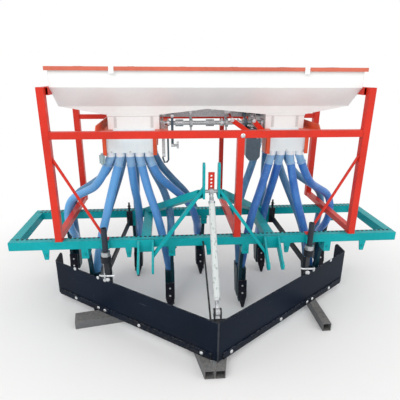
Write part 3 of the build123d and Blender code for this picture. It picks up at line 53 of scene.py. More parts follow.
# Front face of the front beam and top of the frame, in metres.
FRONT_Y = -0.1225
FRAME_TOP = 0.540

# Rows and cups across the drill, setbacks of the two rows of cups, setback and rise of the feed shaft, and the
# middle and width of each metering box, in millimetres.
ROWS = tuple((row - 5) * 235.0 for row in range(1, 10))
CUPS = (-565, -509, -453, -397, -341, 394, 451, 508, 565)
CUP_ROWS = (207.0, 553.0)
SHAFT = (242.0, 632.0)
METERING_BOXES = ((-422, 291), (457, 229))

SIDES = (-1, 1)
RIGHT = Vector((1, 0, 0))
FORWARD = Vector((0, -1, 0))
UP = Vector((0, 0, 1))
SMOOTH_ANGLE = 0.6
IMAGE_SIZE = 400


def srgb(red: int, green: int, blue: int) -> Colour:
    """Turns a colour as seen on a screen into the linear one that a shader takes.

    Args:
        red: Red from 0 to 255.
        green: Green from 0 to 255.
        blue: Blue from 0 to 255.

    Returns:
        The linear colour.
    """
    def linear(channel: int) -> float:
        """One channel made linear."""
        share = channel / 255
        return share / 12.92 if share <= 0.04045 else ((share + 0.055) / 1.055) ** 2.4
    return linear(red), linear(green), linear(blue)


def dimmed(colour: Colour, share: float) -> Colour:
    """A share of a linear colour."""
    return tuple(channel * share for channel in colour)


WHITE = (1.0, 1.0, 1.0, 1.0)
DUST = srgb(196, 186, 168)
MUD = srgb(122, 108, 90)


def place(x: float, setback: float, rise: float) -> Vector:
    """Finds a point of the drill from the sizes that its frame is set out by.

    Args:
        x: Place across the drill in millimetres.
        setback: Distance behind the front beam's front face in millimetres.
        rise: Height above the frame's top in millimetres.

    Returns:
        The point in metres.
    """
    return Vector((x / 1000, FRONT_Y + setback / 1000, FRAME_TOP + rise / 1000))


class Body(str, Enum):
    """Rigid bodies of the drill."""

    DRILL = "drill"
    LID = "hopper_lid"
    SHAFT = "feed_shaft"


class Slot(str, Enum):
    """Material slots that the added pieces stand for."""

    TEAL = "frame_teal"
    RED = "stand_red"
    WHITE = "hopper_white"
    LID = "lid_orange"
    BLADE = "blade_dark"
    STEEL = "bright_steel"
    HOSE = "hose_blue"
    SLEEVE = "sleeve_clear"
    PALE = "meter_pale"
    SLATE = "guard_slate"


class Wire:
    """A shader socket that takes part in plain sums."""

    def __init__(self, shader: "Shader", socket: bpy.types.NodeSocket) -> None:
        """Keeps the socket and the shader that it belongs to."""
        self.shader = shader
        self.socket = socket

    def __add__(self, other: Value) -> "Wire":
        """Sum of two values, in either order."""
        return self.shader.sum("ADD", self, other)

    __radd__ = __add__

    def __sub__(self, other: Value) -> "Wire":
        """Difference of two values."""
        return self.shader.sum("SUBTRACT", self, other)

    def __rsub__(self, other: Value) -> "Wire":
        """Difference from a plain number."""
        return self.shader.sum("SUBTRACT", other, self)

    def __mul__(self, other: Value) -> "Wire":
        """Product of two values."""
        return self.shader.sum("MULTIPLY", self, other)


class Graph:
    """Adds nodes to a tree, settings first and then inputs."""

    def __init__(self, tree: bpy.types.NodeTree) -> None:
        """Keeps the tree that nodes go into."""
        self.tree = tree

    def add(self, kind: str, settings: dict[str, Any] | None = None,
            inputs: dict[str | int, Any] | None = None) -> bpy.types.Node:
        """Makes a node.

        Args:
            kind: The node's type.
            settings: Its settings, such as an operation.
            inputs: Values or links of its sockets, by name or number.

        Returns:
            The node.
        """
        node = self.tree.nodes.new(kind)
        for key, value in (settings or {}).items():
            setattr(node, key, value)
        for key, value in (inputs or {}).items():
            socket = node.inputs[key]
            source = value.socket if isinstance(value, Wire) else value
            if isinstance(source, bpy.types.NodeSocket):
                self.tree.links.new(source, socket)
            else:
                socket.default_value = source
        return node

    def math(self, operation: str, *values: Any) -> bpy.types.NodeSocket:
        """A Math node on the values."""
        return self.add("ShaderNodeMath", {"operation": operation}, dict(enumerate(values))).outputs[0]


class Shader(Graph):
    """A material's tree, with the few patterns that the finishes share."""

    def __init__(self, name: str) -> None:
        """Starts an empty material."""
        self.material = bpy.data.materials.new(name)
        self.material.use_nodes = True
        super().__init__(self.material.node_tree)
        self.tree.nodes.clear()
        self.point = self.add("ShaderNodeTexCoord").outputs["Object"]

    def sum(self, operation: str, first: Value, second: Value) -> Wire:
        """A Math node on two values, ready for further sums."""
        return Wire(self, self.math(operation, first, second))

    def mix(self, factor: Value, first: Any, second: Any) -> Wire:
        """Blends two colours.

        Args:
            factor: Share of the second colour.
            first: Linear colour or link.
            second: Linear colour or link.

        Returns:
            The blended colour.
        """
        def four(colour: Any) -> Any:
            """A plain colour with its alpha."""
            return (*colour, 1.0) if isinstance(colour, tuple) else colour
        node = self.add("ShaderNodeMix", {"data_type": "RGBA"}, {0: factor, 6: four(first), 7: four(second)})
        return Wire(self, node.outputs[2])

    def noise(self, scale: float, detail: float = 3.0, stretch: Colour = (1, 1, 1)) -> Wire:
        """Noise from 0 to 1 on the piece's own place.

        Args:
            scale: Waves to a metre.
            detail: Octaves.
            stretch: Scale along each axis.

        Returns:
            The noise's value.
        """
        spot: Any = self.point
        if stretch != (1, 1, 1):
            spot = self.add("ShaderNodeMapping", {}, {0: self.point, 3: stretch}).outputs[0]
        node = self.add("ShaderNodeTexNoise", {}, {"Vector": spot, "Scale": scale, "Detail": detail})
        return Wire(self, node.outputs["Fac"])

    def step(self, value: Value, low: float, high: float) -> Wire:
        """Rises smoothly from 0 at low to 1 at high."""
        node = self.add("ShaderNodeMapRange", {"interpolation_type": "SMOOTHSTEP"}, {0: value, 1: low, 2: high})
        return Wire(self, node.outputs[0])

    def edges(self, radius: float) -> tuple[Wire, bpy.types.NodeSocket]:
        """Finds the sharp edges of a solid.

        Args:
            radius: Width of an edge in metres.

        Returns:
            A mask of the edges, and the normal rounded over them.
        """
        round_over = self.add("ShaderNodeBevel", {"samples": 6}, {"Radius": radius}).outputs[0]
        face = self.add("ShaderNodeNewGeometry").outputs["True Normal"]
        dot = self.add("ShaderNodeVectorMath", {"operation": "DOT_PRODUCT"},
                       {0: round_over, 1: face}).outputs["Value"]
        return self.step(1 - Wire(self, dot), 0.015, 0.16), round_over

    def axis(self, vector: bpy.types.NodeSocket, number: int) -> Wire:
        """A vector's share along X, Y or Z, by its number."""
        return Wire(self, self.add("ShaderNodeSeparateXYZ", {}, {0: vector}).outputs[number])

    def upward(self) -> Wire:
        """Share by which a surface faces up."""
        return self.step(self.axis(self.add("ShaderNodeNewGeometry").outputs["Normal"], 2), 0.2, 0.9)

    def height(self) -> Wire:
        """Height above the ground in metres."""
        return self.axis(self.point, 2)

    def bump(self, height: Value, strength: float, depth: float, normal: Any = None) -> Any:
        """A Bump node on a height, and on a rounded normal where there is one."""
        rounded = {} if normal is None else {"Normal": normal}
        return self.add("ShaderNodeBump", {}, {"Height": height, "Strength": strength, "Distance": depth,
                                               **rounded}).outputs[0]

    def done(self, colour: Value, roughness: Value, normal: Any,
             others: dict[str, Any] | None = None) -> bpy.types.Material:
        """Ends the tree in a Principled shader.

        Args:
            colour: Colour of the surface.
            roughness: Its roughness.
            normal: Its bumped normal.
            others: Values or links of the shader's other sockets, by name.

        Returns:
            The material.
        """
        surface = self.add("ShaderNodeBsdfPrincipled", {}, {
            "Base Color": colour, "Roughness": roughness, "Normal": normal, **(others or {})})
        self.add("ShaderNodeOutputMaterial", {}, {"Surface": surface.outputs[0]})
        return self.material


@dataclass(frozen=True)
class Paint:
    """Sprayed paint on steel: dust on what faces up, chips along edges, a slight orange peel."""

    name: str
    colour: Colour
    chip: Colour = srgb(120, 118, 112)
    roughness: float = 0.34
    coat: float = 0.35
    chips: float = 0.35
    dust: float = 0.25
    mud: float = 0.0
    mud_line: tuple[float, float] = (0.06, 0.24)
    mottle: float = 0.12
    specular: float = 0.25

    def material(self) -> bpy.types.Material:
        """Builds the paint's material.

        Returns:
            The material.
        """
        shader = Shader(self.name)
        edge, rounded = shader.edges(0.0022)
        broad = shader.noise(5.0)
        fine = shader.noise(60.0, 5.0)
        grain = shader.noise(420.0, 2.0)
        pale = tuple(min(1.0, channel * (1 + self.mottle) + 0.002) for channel in self.colour)
        dark = dimmed(self.colour, 1 - self.mottle * 2)
        tone = shader.mix(shader.step(broad * 0.7 + fine * 0.3, 0.3, 0.7), dark, pale)
        worn = edge * shader.step(fine + broad * 0.4, 0.88 - self.chips * 0.5, 0.96 - self.chips * 0.4)
        nicks = shader.step(shader.noise(150.0, 4.0), 0.70, 0.735) * (self.chips * 0.8)
        bare = shader.step(worn + nicks, 0.2, 0.7)
        tone = shader.mix(bare, tone, self.chip)
        dusty = shader.upward() * shader.step(fine + grain * 0.3, 0.45, 0.95) * self.dust
        tone = shader.mix(dusty, tone, DUST)
        if self.mud:
            low = 1 - shader.step(shader.height() + broad * 0.06, *self.mud_line)
            tone = shader.mix(low * shader.step(fine, 0.35, 0.7) * self.mud, tone, MUD)
        rough = self.roughness + broad * 0.14 + bare * 0.2 + dusty * 0.35
        relief = grain * 0.25 + fine * 0.35 - bare * 0.8
        return shader.done(tone, rough, shader.bump(relief, 0.25, 0.0006, rounded), {
            "Metallic": bare * 0.6, "Coat Weight": (1 - bare) * self.coat, "Coat Roughness": 0.12,
            "Specular IOR Level": self.specular})


@dataclass(frozen=True)
class Zinc:
    """Galvanised or bright steel with a spangle, stains and rubbed edges."""

    name: str
    light: Colour = srgb(205, 208, 210)
    dark: Colour = srgb(138, 142, 146)
    stain: Colour = srgb(126, 82, 50)
    rubbed: Colour = srgb(226, 228, 230)
    metal: float = 0.85
    roughness: float = 0.32
    rust: float = 0.15

    def material(self) -> bpy.types.Material:
        """Builds the metal's material.

        Returns:
            The material.
        """
        shader = Shader(self.name)
        edge, rounded = shader.edges(0.0012)
        cells = shader.add("ShaderNodeTexVoronoi", {}, {"Vector": shader.point, "Scale": 190.0})
        spangle = Wire(shader, cells.outputs["Distance"])
        cloud = shader.noise(34.0, 4.0)
        tone = shader.mix(shader.step(spangle * 0.6 + cloud * 0.6, 0.25, 0.85), self.dark, self.light)
        stain = shader.step(shader.noise(75.0, 5.0), 0.58, 0.74) * self.rust
        tone = shader.mix(stain, tone, self.stain)
        tone = shader.mix(edge * 0.5, tone, self.rubbed)
        rough = self.roughness + cloud * 0.2 + stain * 0.3
        normal = shader.bump(cloud + spangle * 0.4, 0.2, 0.0005, rounded)
        return shader.done(tone, rough, normal, {"Metallic": self.metal - stain * 0.6})


@dataclass(frozen=True)
class Flaked:
    """White paint flaking off zinc, as on the turnbuckle."""

    name: str
    paint: Colour = srgb(210, 218, 217)
    faded: Colour = srgb(196, 200, 197)
    metal: Colour = srgb(178, 190, 187)
    share: float = 0.36

    def material(self) -> bpy.types.Material:
        """Builds the flaking paint's material.

        Returns:
            The material.
        """
        shader = Shader(self.name)
        edge, rounded = shader.edges(0.0016)
        patch = shader.noise(64.0, 6.0, (1.0, 0.7, 0.6))
        bare = shader.step(patch + edge * 0.12, 0.92 - self.share, 1.02 - self.share)
        grain = shader.noise(320.0, 3.0)
        metal = shader.mix(grain, dimmed(self.metal, 0.7), self.metal)
        tone = shader.mix(bare, shader.mix(shader.noise(12.0) * 0.5, self.paint, self.faded), metal)
        normal = shader.bump(grain * 0.2 - bare, 0.5, 0.0007, rounded)
        return shader.done(tone, 0.42 + bare * 0.1, normal, {"Metallic": bare * 0.3})


@dataclass(frozen=True)
class Moulding:
    """Smooth plastic with soft dents and a little dust, in some pieces made paler towards the left as painted
    light.
    """

    name: str
    colour: Colour
    shade: Colour
    # Paler colour towards the left: painted light, not the plastic's own colour.
    left: Colour | None = None
    dust_colour: Colour = srgb(206, 204, 196)
    roughness: float = 0.3
    dust: float = 0.12
    dent: float = 0.004
    coat: float = 0.25

    def material(self) -> bpy.types.Material:
        """Builds the plastic's material.

        Returns:
            The material.
        """
        shader = Shader(self.name)
        soft = shader.noise(14.0, 2.0)
        streak = shader.noise(55.0, 4.0, (1.0, 1.0, 0.25))
        tone = shader.mix(shader.step(soft * 0.6 + streak * 0.4, 0.3, 0.72), self.shade, self.colour)
        # Painted light: the piece is made paler towards the left, where the light falls on it.
        if self.left is not None:
            across = shader.axis(shader.point, 0)
            tone = shader.mix((1 - shader.step(across + soft * 0.3, -0.75, 0.35)) * 0.85, tone, self.left)
        dusty = shader.step(shader.noise(90.0, 5.0), 0.52, 0.8) * (self.dust + shader.upward() * self.dust)
        tone = shader.mix(dusty, tone, self.dust_colour)
        rough = self.roughness + dusty * 0.5 + streak * 0.08
        return shader.done(tone, rough, shader.bump(soft + streak * 0.15, 0.35, self.dent), {
            "Specular IOR Level": 0.3, "Coat Weight": self.coat, "Coat Roughness": 0.18})


@dataclass(frozen=True)
class Scuffed:
    """Dark paint of the blade: long scratches, rubbed edges and soil towards the ground."""

    name: str
    colour: Colour = srgb(18, 29, 45)
    scratch: Colour = srgb(96, 102, 110)
    rubbed: Colour = srgb(150, 152, 152)
    soil: Colour = srgb(92, 84, 74)

    def material(self) -> bpy.types.Material:
        """Builds the blade paint's material.

        Returns:
            The material.
        """
        shader = Shader(self.name)
        edge, rounded = shader.edges(0.0025)
        broad = shader.noise(3.5)
        fine = shader.noise(70.0, 5.0)
        tone = shader.mix(shader.step(broad, 0.3, 0.7), dimmed(self.colour, 0.72), self.colour)
        long = shader.step(shader.noise(26.0, 6.0, (0.35, 0.35, 9.0)), 0.66, 0.72)
        cross = shader.step(shader.noise(30.0, 6.0, (6.0, 6.0, 0.6)), 0.70, 0.74)
        marks = (long * 0.35 + cross * 0.25) * shader.step(broad + fine * 0.3, 0.5, 0.8)
        tone = shader.mix(marks, tone, self.scratch)
        rubbed = edge * shader.step(fine, 0.42, 0.6)
        tone = shader.mix(rubbed * 0.8, tone, self.rubbed)
        low = (1 - shader.step(shader.height() + broad * 0.05, 0.055, 0.15)) * shader.step(fine, 0.4, 0.7)
        tone = shader.mix(low * 0.35, tone, self.soil)
        rough = 0.36 + broad * 0.12 + low * 0.3 + marks * 0.15
        normal = shader.bump(fine * 0.3 - marks - rubbed * 0.4, 0.25, 0.0006, rounded)
        return shader.done(tone, rough, normal, {"Metallic": rubbed * 0.6, "Specular IOR Level": 0.07})


@dataclass(frozen=True)
class Plain:
    """An even, dull finish with a fine grain, for the painted shade of holes, and for weld beads and slides."""

    name: str
    colour: Colour
    roughness: float = 0.7

    def material(self) -> bpy.types.Material:
        """Builds the grained material.

        Returns:
            The material.
        """
        shader = Shader(self.name)
        grain = shader.noise(240.0, 4.0)
        tone = shader.mix(grain, dimmed(self.colour, 0.6), self.colour)
        return shader.done(tone, self.roughness, shader.bump(grain, 0.3, 0.0005))


class Look(Enum):
    """Every finish of the drill."""

    TEAL = Paint("teal_paint", srgb(0, 166, 172), dust=0.1, chips=0.22, coat=0.06, mottle=0.08, specular=0.14)
    RED = Paint("red_paint", srgb(216, 44, 24), chips=0.14, dust=0.05, coat=0.12, mottle=0.06)
    ORANGE = Paint("orange_paint", srgb(230, 88, 48), chips=0.3, dust=0.12, coat=0.15)
    WHITE = Paint("white_paint", srgb(246, 250, 249), chip=srgb(150, 150, 146), chips=0.1, dust=0.05,
                  mottle=0.02, coat=0.2)
    RIM = Paint("rim_paint", srgb(214, 108, 84), chips=0.2, dust=0.35, mottle=0.06)
    GREY = Paint("support_paint", srgb(106, 109, 112), chip=srgb(140, 128, 112), chips=0.5, dust=0.25,
                 mud=0.15, coat=0.0, roughness=0.5)
    # The hood's grey is partly its own zinc and partly painted shade, standing in for the shade on the hopper
    # floor behind it.
    HOOD_SHADE = Zinc("hood_sheet_painted_shade", srgb(214, 215, 217), srgb(176, 178, 181), metal=0.2, roughness=0.5, rust=0.1)
    SLATE = Paint("guard_paint", srgb(74, 94, 108), chips=0.4, dust=0.3)
    SHOVEL = Paint("shovel_paint", srgb(14, 19, 36), chip=srgb(130, 130, 132), chips=0.5, dust=0.08,
                   mud=0.12, coat=0.05, specular=0.14)
    BOOT = Paint("boot_paint", srgb(12, 54, 66), chips=0.35, dust=0.1, mud=0.1, coat=0.05, specular=0.15)
    BLACK = Paint("black_paint", srgb(34, 38, 45), chips=0.3, dust=0.1, coat=0.05, specular=0.16)
    PIPE = Paint("pipe_paint", srgb(50, 57, 67), chips=0.3, dust=0.12, coat=0.05, specular=0.16)
    BLADE = Scuffed("blade_paint")
    ZINC = Zinc("zinc")
    BRIGHT = Zinc("bright_steel", srgb(232, 234, 236), srgb(178, 182, 186), rust=0.05, roughness=0.24)
    FLAKED = Flaked("flaking_white")
    # The front hoses' left colour is painted light, making them paler towards the left.
    HOSE = Moulding("blue_hose", srgb(70, 132, 206), srgb(44, 102, 184), left=srgb(112, 184, 240))
    REAR_HOSE = Moulding("rear_hose", srgb(92, 146, 184), srgb(66, 116, 160))
    SLEEVE = Moulding("pale_sleeve", srgb(156, 196, 230), srgb(120, 168, 212), dent=0.002)
    CUP = Moulding("cup_plastic", srgb(246, 250, 253), srgb(226, 236, 246), dent=0.001)
    METER = Moulding("meter_plastic", srgb(240, 252, 255), srgb(230, 246, 252), dent=0.001)
    END_CUP = Moulding("end_cup_plastic", srgb(176, 200, 204), srgb(154, 182, 188), dent=0.001)
    SLIDE = Plain("slide_plate", srgb(236, 238, 237), 0.55)
    # Painted shade: near-black discs stand for the shade inside drilled holes.
    HOLE_SHADOW = Plain("hole_shadow", srgb(14, 34, 36))
    WELD = Plain("weld_bead", srgb(0, 138, 142), 0.45)
    RED_WELD = Plain("red_weld_bead", srgb(214, 54, 38), 0.45)
    DARK_WELD = Plain("dark_weld_bead", srgb(46, 52, 60), 0.5)

    @cache
    def material(self) -> bpy.types.Material:
        """The finish's material, made once."""
        return self.value.material()


@dataclass(frozen=True)
class Spot:
    """Where a repeated shape stands, which way it faces and how large it is."""

    point: Vector
    aim: Vector
    size: float = 1.0


class Geometry(Graph):
    """A Geometry Nodes tree with named inputs, which turns points into a plain mesh."""

    def __init__(self, name: str, sizes: dict[str, float]) -> None:
        """Starts the tree.

        Args:
            name: Name of the tree.
            sizes: Named sizes and their values.
        """
        super().__init__(bpy.data.node_groups.new(name, "GeometryNodeTree"))

        def socket(label: str, kind: str, way: str = "INPUT") -> str:
            """Adds an input or output of the tree, and gives its identifier."""
            return self.tree.interface.new_socket(label, in_out=way, socket_type="NodeSocket" + kind).identifier
        socket("Geometry", "Geometry")
        self.sizes = sizes
        self.keys = {size: socket(size, "Int" if isinstance(value, int) else "Float")
                     for size, value in sizes.items()}
        self.keys["Finish"] = socket("Finish", "Material")
        socket("Geometry", "Geometry", "OUTPUT")
        self.start = self.add("NodeGroupInput").outputs

    def named(self, attribute: str, kind: str) -> bpy.types.NodeSocket:
        """A value that each point carries."""
        return self.add("GeometryNodeInputNamedAttribute", {"data_type": kind}, {0: attribute}).outputs[0]

    def vector(self, x: Any, y: Any, z: Any) -> bpy.types.NodeSocket:
        """A vector made of three values."""
        return self.add("ShaderNodeCombineXYZ", {}, {0: x, 1: y, 2: z}).outputs[0]

    def turned(self) -> bpy.types.NodeSocket:
        """Points Z along each point's aim, with a random spin about it.

        Returns:
            The rotation.
        """
        aim = self.add("FunctionNodeAlignRotationToVector", {"axis": "Z"},
                       {2: self.named("aim", "FLOAT_VECTOR")})
        spin = self.add("FunctionNodeRandomValue", {"data_type": "FLOAT"}, {2: 0.0, 3: 6.28, 8: 7})
        return self.add("FunctionNodeRotateRotation", {"rotation_space": "LOCAL"},
                        {0: aim.outputs[0], 1: self.vector(0.0, 0.0, spin.outputs[1])}).outputs[0]

    def cylinder(self, sides: int, radius: Any, depth: Any, lift: Any) -> bpy.types.NodeSocket:
        """Makes an upright cylinder.

        Args:
            sides: Number of its sides.
            radius: Its radius.
            depth: Its height.
            lift: Height of its foot above the point.

        Returns:
            The cylinder's geometry.
        """
        tube = self.add("GeometryNodeMeshCylinder", {}, {"Vertices": sides, "Radius": radius, "Depth": depth})
        up = self.vector(0.0, 0.0, self.math("MULTIPLY_ADD", depth, 0.5, lift))
        return self.add("GeometryNodeTransform", {}, {"Geometry": tube.outputs["Mesh"],
                                                      "Translation": up}).outputs[0]

    def joined(self, *parts: bpy.types.NodeSocket) -> bpy.types.NodeSocket:
        """Joins geometry.

        Args:
            parts: Geometry of each part.

        Returns:
            The whole.
        """
        node = self.add("GeometryNodeJoinGeometry")
        for part in parts:
            self.tree.links.new(part, node.inputs[0])
        return node.outputs[0]

    def stamped(self, shape: bpy.types.NodeSocket) -> "Geometry":
        """Sets the shape on every point and ends the tree.

        Args:
            shape: The shape, at the origin.

        Returns:
            The finished tree.
        """
        points = self.add("GeometryNodeMeshToPoints", {}, {"Mesh": self.start["Geometry"]}).outputs[0]
        copies = self.add("GeometryNodeInstanceOnPoints", {}, {
            "Points": points, "Instance": shape, "Rotation": self.turned(),
            "Scale": self.named("size", "FLOAT")})
        real = self.add("GeometryNodeRealizeInstances", {}, {0: copies.outputs[0]})
        done = self.add("GeometryNodeSetMaterial", {}, {"Geometry": real.outputs[0],
                                                        "Material": self.start["Finish"]})
        self.add("NodeGroupOutput", {}, {0: done.outputs[0]})
        return self

    def apply(self, name: str, spots: Sequence[Spot], look: Look, slot: Slot = Slot.STEEL) -> None:
        """Runs the tree on a set of spots and keeps the result as a plain piece of the drill.

        Args:
            name: Name of the new piece.
            spots: Where the shapes go.
            look: Their finish.
            slot: The slot that the piece stands for.
        """
        seed = bpy.data.meshes.new(name + "_points")
        seed.from_pydata([tuple(spot.point) for spot in spots], [], [])
        for attribute, kind in (("aim", "FLOAT_VECTOR"), ("size", "FLOAT")):
            seed.attributes.new(attribute, kind, "POINT")
        for index, spot in enumerate(spots):
            seed.attributes["aim"].data[index].vector = spot.aim
            seed.attributes["size"].data[index].value = spot.size
        carrier = in_scene(name + "_carrier", seed)
        modifier = carrier.modifiers.new("shapes", "NODES")
        modifier.node_group = self.tree
        for size, value in self.sizes.items():
            modifier[self.keys[size]] = value
        modifier[self.keys["Finish"]] = look.material()
        mesh = bpy.data.meshes.new_from_object(carrier.evaluated_get(bpy.context.evaluated_depsgraph_get()))
        carrier.modifiers.remove(modifier)
        bpy.data.objects.remove(carrier)
        mesh.materials.clear()
        mesh.materials.append(look.material())
        settle(in_scene(name, mesh), slot)


def hex_bolts() -> Geometry:
    """Tree of a hexagon head on a washer, with the end of its thread.

    Returns:
        The tree.
    """
    tree = Geometry("hex_bolts", {"Head Radius": 0.0095, "Head Height": 0.0065, "Washer Radius": 0.0125,
                                  "Washer Height": 0.0018, "Thread Radius": 0.0045, "Thread Height": 0.004})
    start = tree.start
    washer = tree.cylinder(20, start["Washer Radius"], start["Washer Height"], 0.0)
    head = tree.cylinder(6, start["Head Radius"], start["Head Height"], start["Washer Height"])
    top = tree.math("ADD", start["Washer Height"], start["Head Height"])
    thread = tree.cylinder(12, start["Thread Radius"], start["Thread Height"], top)
    return tree.stamped(tree.joined(washer, head, thread))


def discs() -> Geometry:
    """Tree of thin round discs, for the painted shade of drilled holes."""
    tree = Geometry("discs", {"Radius": 0.0085, "Height": 0.0004})
    return tree.stamped(tree.cylinder(14, tree.start["Radius"], tree.start["Height"], 0.0))


def rollers() -> Geometry:
    """Tree of chain rollers, each with the point at its middle."""
    tree = Geometry("chain_links", {"Roller": 0.0058, "Width": 0.014})
    lowered = tree.math("MULTIPLY", tree.start["Width"], -0.5)
    return tree.stamped(tree.cylinder(12, tree.start["Roller"], tree.start["Width"], lowered))


def domes(fineness: int = 2) -> Geometry:
    """Tree of flattened domes, for rivets, cup bolts and weld beads.

    Args:
        fineness: Subdivisions of each dome, 1 for the many small weld beads.

    Returns:
        The tree.
    """
    tree = Geometry("domes", {"Radius": 0.006, "Flatness": 0.55, "Fineness": fineness})
    ball = tree.add("GeometryNodeMeshIcoSphere", {}, {"Radius": tree.start["Radius"],
                                                      "Subdivisions": tree.start["Fineness"]})
    flat = tree.add("GeometryNodeTransform", {}, {
        "Geometry": ball.outputs["Mesh"], "Scale": tree.vector(1.0, 1.0, tree.start["Flatness"])})
    return tree.stamped(flat.outputs[0])


def rings() -> Geometry:
    """Tree of rings round a rod, for threads and clamps.

    Returns:
        The tree.
    """
    tree = Geometry("rings", {"Radius": 0.0105, "Width": 0.0018, "Sides": 20})
    line, wire = (tree.add("GeometryNodeCurvePrimitiveCircle", {"mode": "RADIUS"},
                           {"Resolution": sides, "Radius": tree.start[radius]}).outputs[0]
                  for sides, radius in ((tree.start["Sides"], "Radius"), (6, "Width")))
    tube = tree.add("GeometryNodeCurveToMesh", {}, {"Curve": line, "Profile Curve": wire})
    return tree.stamped(tube.outputs[0])


def beads(start: Vector, end: Vector, aim: Vector, size: float, seed: int, pitch: float = 0.006,
          jitter: float = 0.3) -> list[Spot]:
    """Sets weld beads along a line.

    Args:
        start: First bead.
        end: Last bead.
        aim: Way that each faces.
        size: Size of each.
        seed: Seed of the differences in size.
        pitch: Distance between beads in metres.
        jitter: Share by which sizes differ.

    Returns:
        The beads' spots.
    """
    dice = random.Random(seed)
    count = max(1, round((end - start).length / pitch))
    return [Spot(start.lerp(end, index / count), aim, size * (1 + dice.uniform(-jitter, jitter)))
            for index in range(count + 1)]


def in_scene(name: str, data: Any) -> bpy.types.Object:
    """Makes an object and puts it in the scene.

    Args:
        name: Name of the object.
        data: Its mesh, curve, light or camera.

    Returns:
        The object.
    """
    made = bpy.data.objects.new(name, data)
    bpy.context.scene.collection.objects.link(made)
    return made


def settle(piece: bpy.types.Object, slot: Slot, body: Body = Body.DRILL) -> None:
    """Hangs a piece on its body and reports it.

    Args:
        piece: The piece.
        slot: Not used.
        body: Body that it rides on.
    """
    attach(piece, body.value)
    log.info("%s rides on %s", piece.name, body.value)


def dress(look: Look, *nodes: str) -> None:
    """Gives CAD nodes a finish.

    Args:
        look: The finish.
        nodes: Names of the nodes.
    """
    for name in nodes:
        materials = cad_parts[name].data.materials
        materials.clear()
        materials.append(look.material())
        log.info("%s dressed in %s", name, look.value.name)


def mesh_piece(name: str, shape: bmesh.types.BMesh, look: Look, slot: Slot, body: Body = Body.DRILL) -> None:
    """Turns a built shape into a piece of the drill.

    Args:
        name: Name of the piece.
        shape: The shape, which is freed.
        look: Its finish.
        slot: The slot that it stands for.
        body: Body that it rides on.
    """
    bmesh.ops.remove_doubles(shape, verts=shape.verts, dist=1e-6)
    bmesh.ops.recalc_face_normals(shape, faces=shape.faces)
    mesh = bpy.data.meshes.new(name)
    shape.to_mesh(mesh)
    shape.free()
    mesh.materials.append(look.material())
    mesh.shade_smooth()
    mesh.set_sharp_from_angle(angle=SMOOTH_ANGLE)
    settle(in_scene(name, mesh), slot, body)


def sweep(shape: bmesh.types.BMesh, line: Sequence[Vector], outline: Outline, across: Vector,
          closed: bool = False) -> None:
    """Sweeps a closed outline along a line of points, and caps its ends.

    Args:
        shape: Shape that the sweep is added to.
        line: Points that the outline's middle follows.
        outline: Points of the outline, across and beside.
        across: Way that the outline's first axis is held near.
        closed: Whether the line returns to its start.
    """
    rows = []
    count = len(line)
    for index, point in enumerate(line):
        before = line[(index - 1) % count] if closed or index else point
        after = line[(index + 1) % count] if closed or index < count - 1 else point
        way = (after - before).normalized()
        first = (across - way * across.dot(way)).normalized()
        second = way.cross(first)
        rows.append([shape.verts.new(point + first * a + second * b) for a, b in outline])
    for low, high in list(zip(rows, rows[1:])) + ([(rows[-1], rows[0])] if closed else []):
        for index in range(len(outline)):
            after = (index + 1) % len(outline)
            shape.faces.new((low[index], low[after], high[after], high[index]))
    if not closed:
        shape.faces.new(rows[0])
        shape.faces.new(list(reversed(rows[-1])))


def circle(radius: float, sides: int = 12) -> list[tuple[float, float]]:
    """Points round a circle."""
    return [(radius * math.cos(2 * math.pi * side / sides), radius * math.sin(2 * math.pi * side / sides))
            for side in range(sides)]


def oblong(low: float, high: float, half: float) -> list[tuple[float, float]]:
    """Corners of a flat bar's outline, from low to high across and half to each side."""
    return [(low, -half), (high, -half), (high, half), (low, half)]


def rod(shape: bmesh.types.BMesh, points: Sequence[Point], radius: float, across: Vector = UP,
        sides: int = 12) -> None:
    """Adds a round rod.

    Args:
        shape: Shape that the rod is added to.
        points: Points of its line: across, setback and rise in millimetres.
        radius: Its radius in metres.
        across: Way that its first side is held near.
        sides: Sides of its outline.
    """
    sweep(shape, [place(*point) for point in points], circle(radius, sides), across)


def hoop(shape: bmesh.types.BMesh, x: float, radius: float, steps: int, outline: Outline) -> None:
    """Sweeps an outline once round the feed shaft.

    Args:
        shape: Shape that the hoop is added to.
        x: Place of its middle across the drill in millimetres.
        radius: Radius of its line in metres.
        steps: Points of its line.
        outline: Points of the outline, across the drill and out from the line.
    """
    line = [place(x, *SHAFT) + Vector((0, out, up)) for out, up in circle(radius, steps)]
    sweep(shape, line, outline, RIGHT, closed=True)


def slab(shape: bmesh.types.BMesh, low: Point, high: Point, round_over: float = 0.001) -> None:
    """Adds a box with eased edges between two corners.

    Args:
        shape: Shape that the box is added to.
        low: Lowest corner: across, setback and rise in millimetres.
        high: Highest corner.
        round_over: Width of the eased edges in metres.
    """
    foot, top = place(*low), place(*high)
    box = Matrix.Translation((top + foot) / 2) @ Matrix.Diagonal((*(top - foot), 1.0))
    made = bmesh.ops.create_cube(shape, size=1.0, matrix=box)
    if round_over:
        edges = list(dict.fromkeys(edge for vert in made["verts"] for edge in vert.link_edges))
        bmesh.ops.bevel(shape, geom=edges, offset=round_over, segments=2, affect="EDGES")


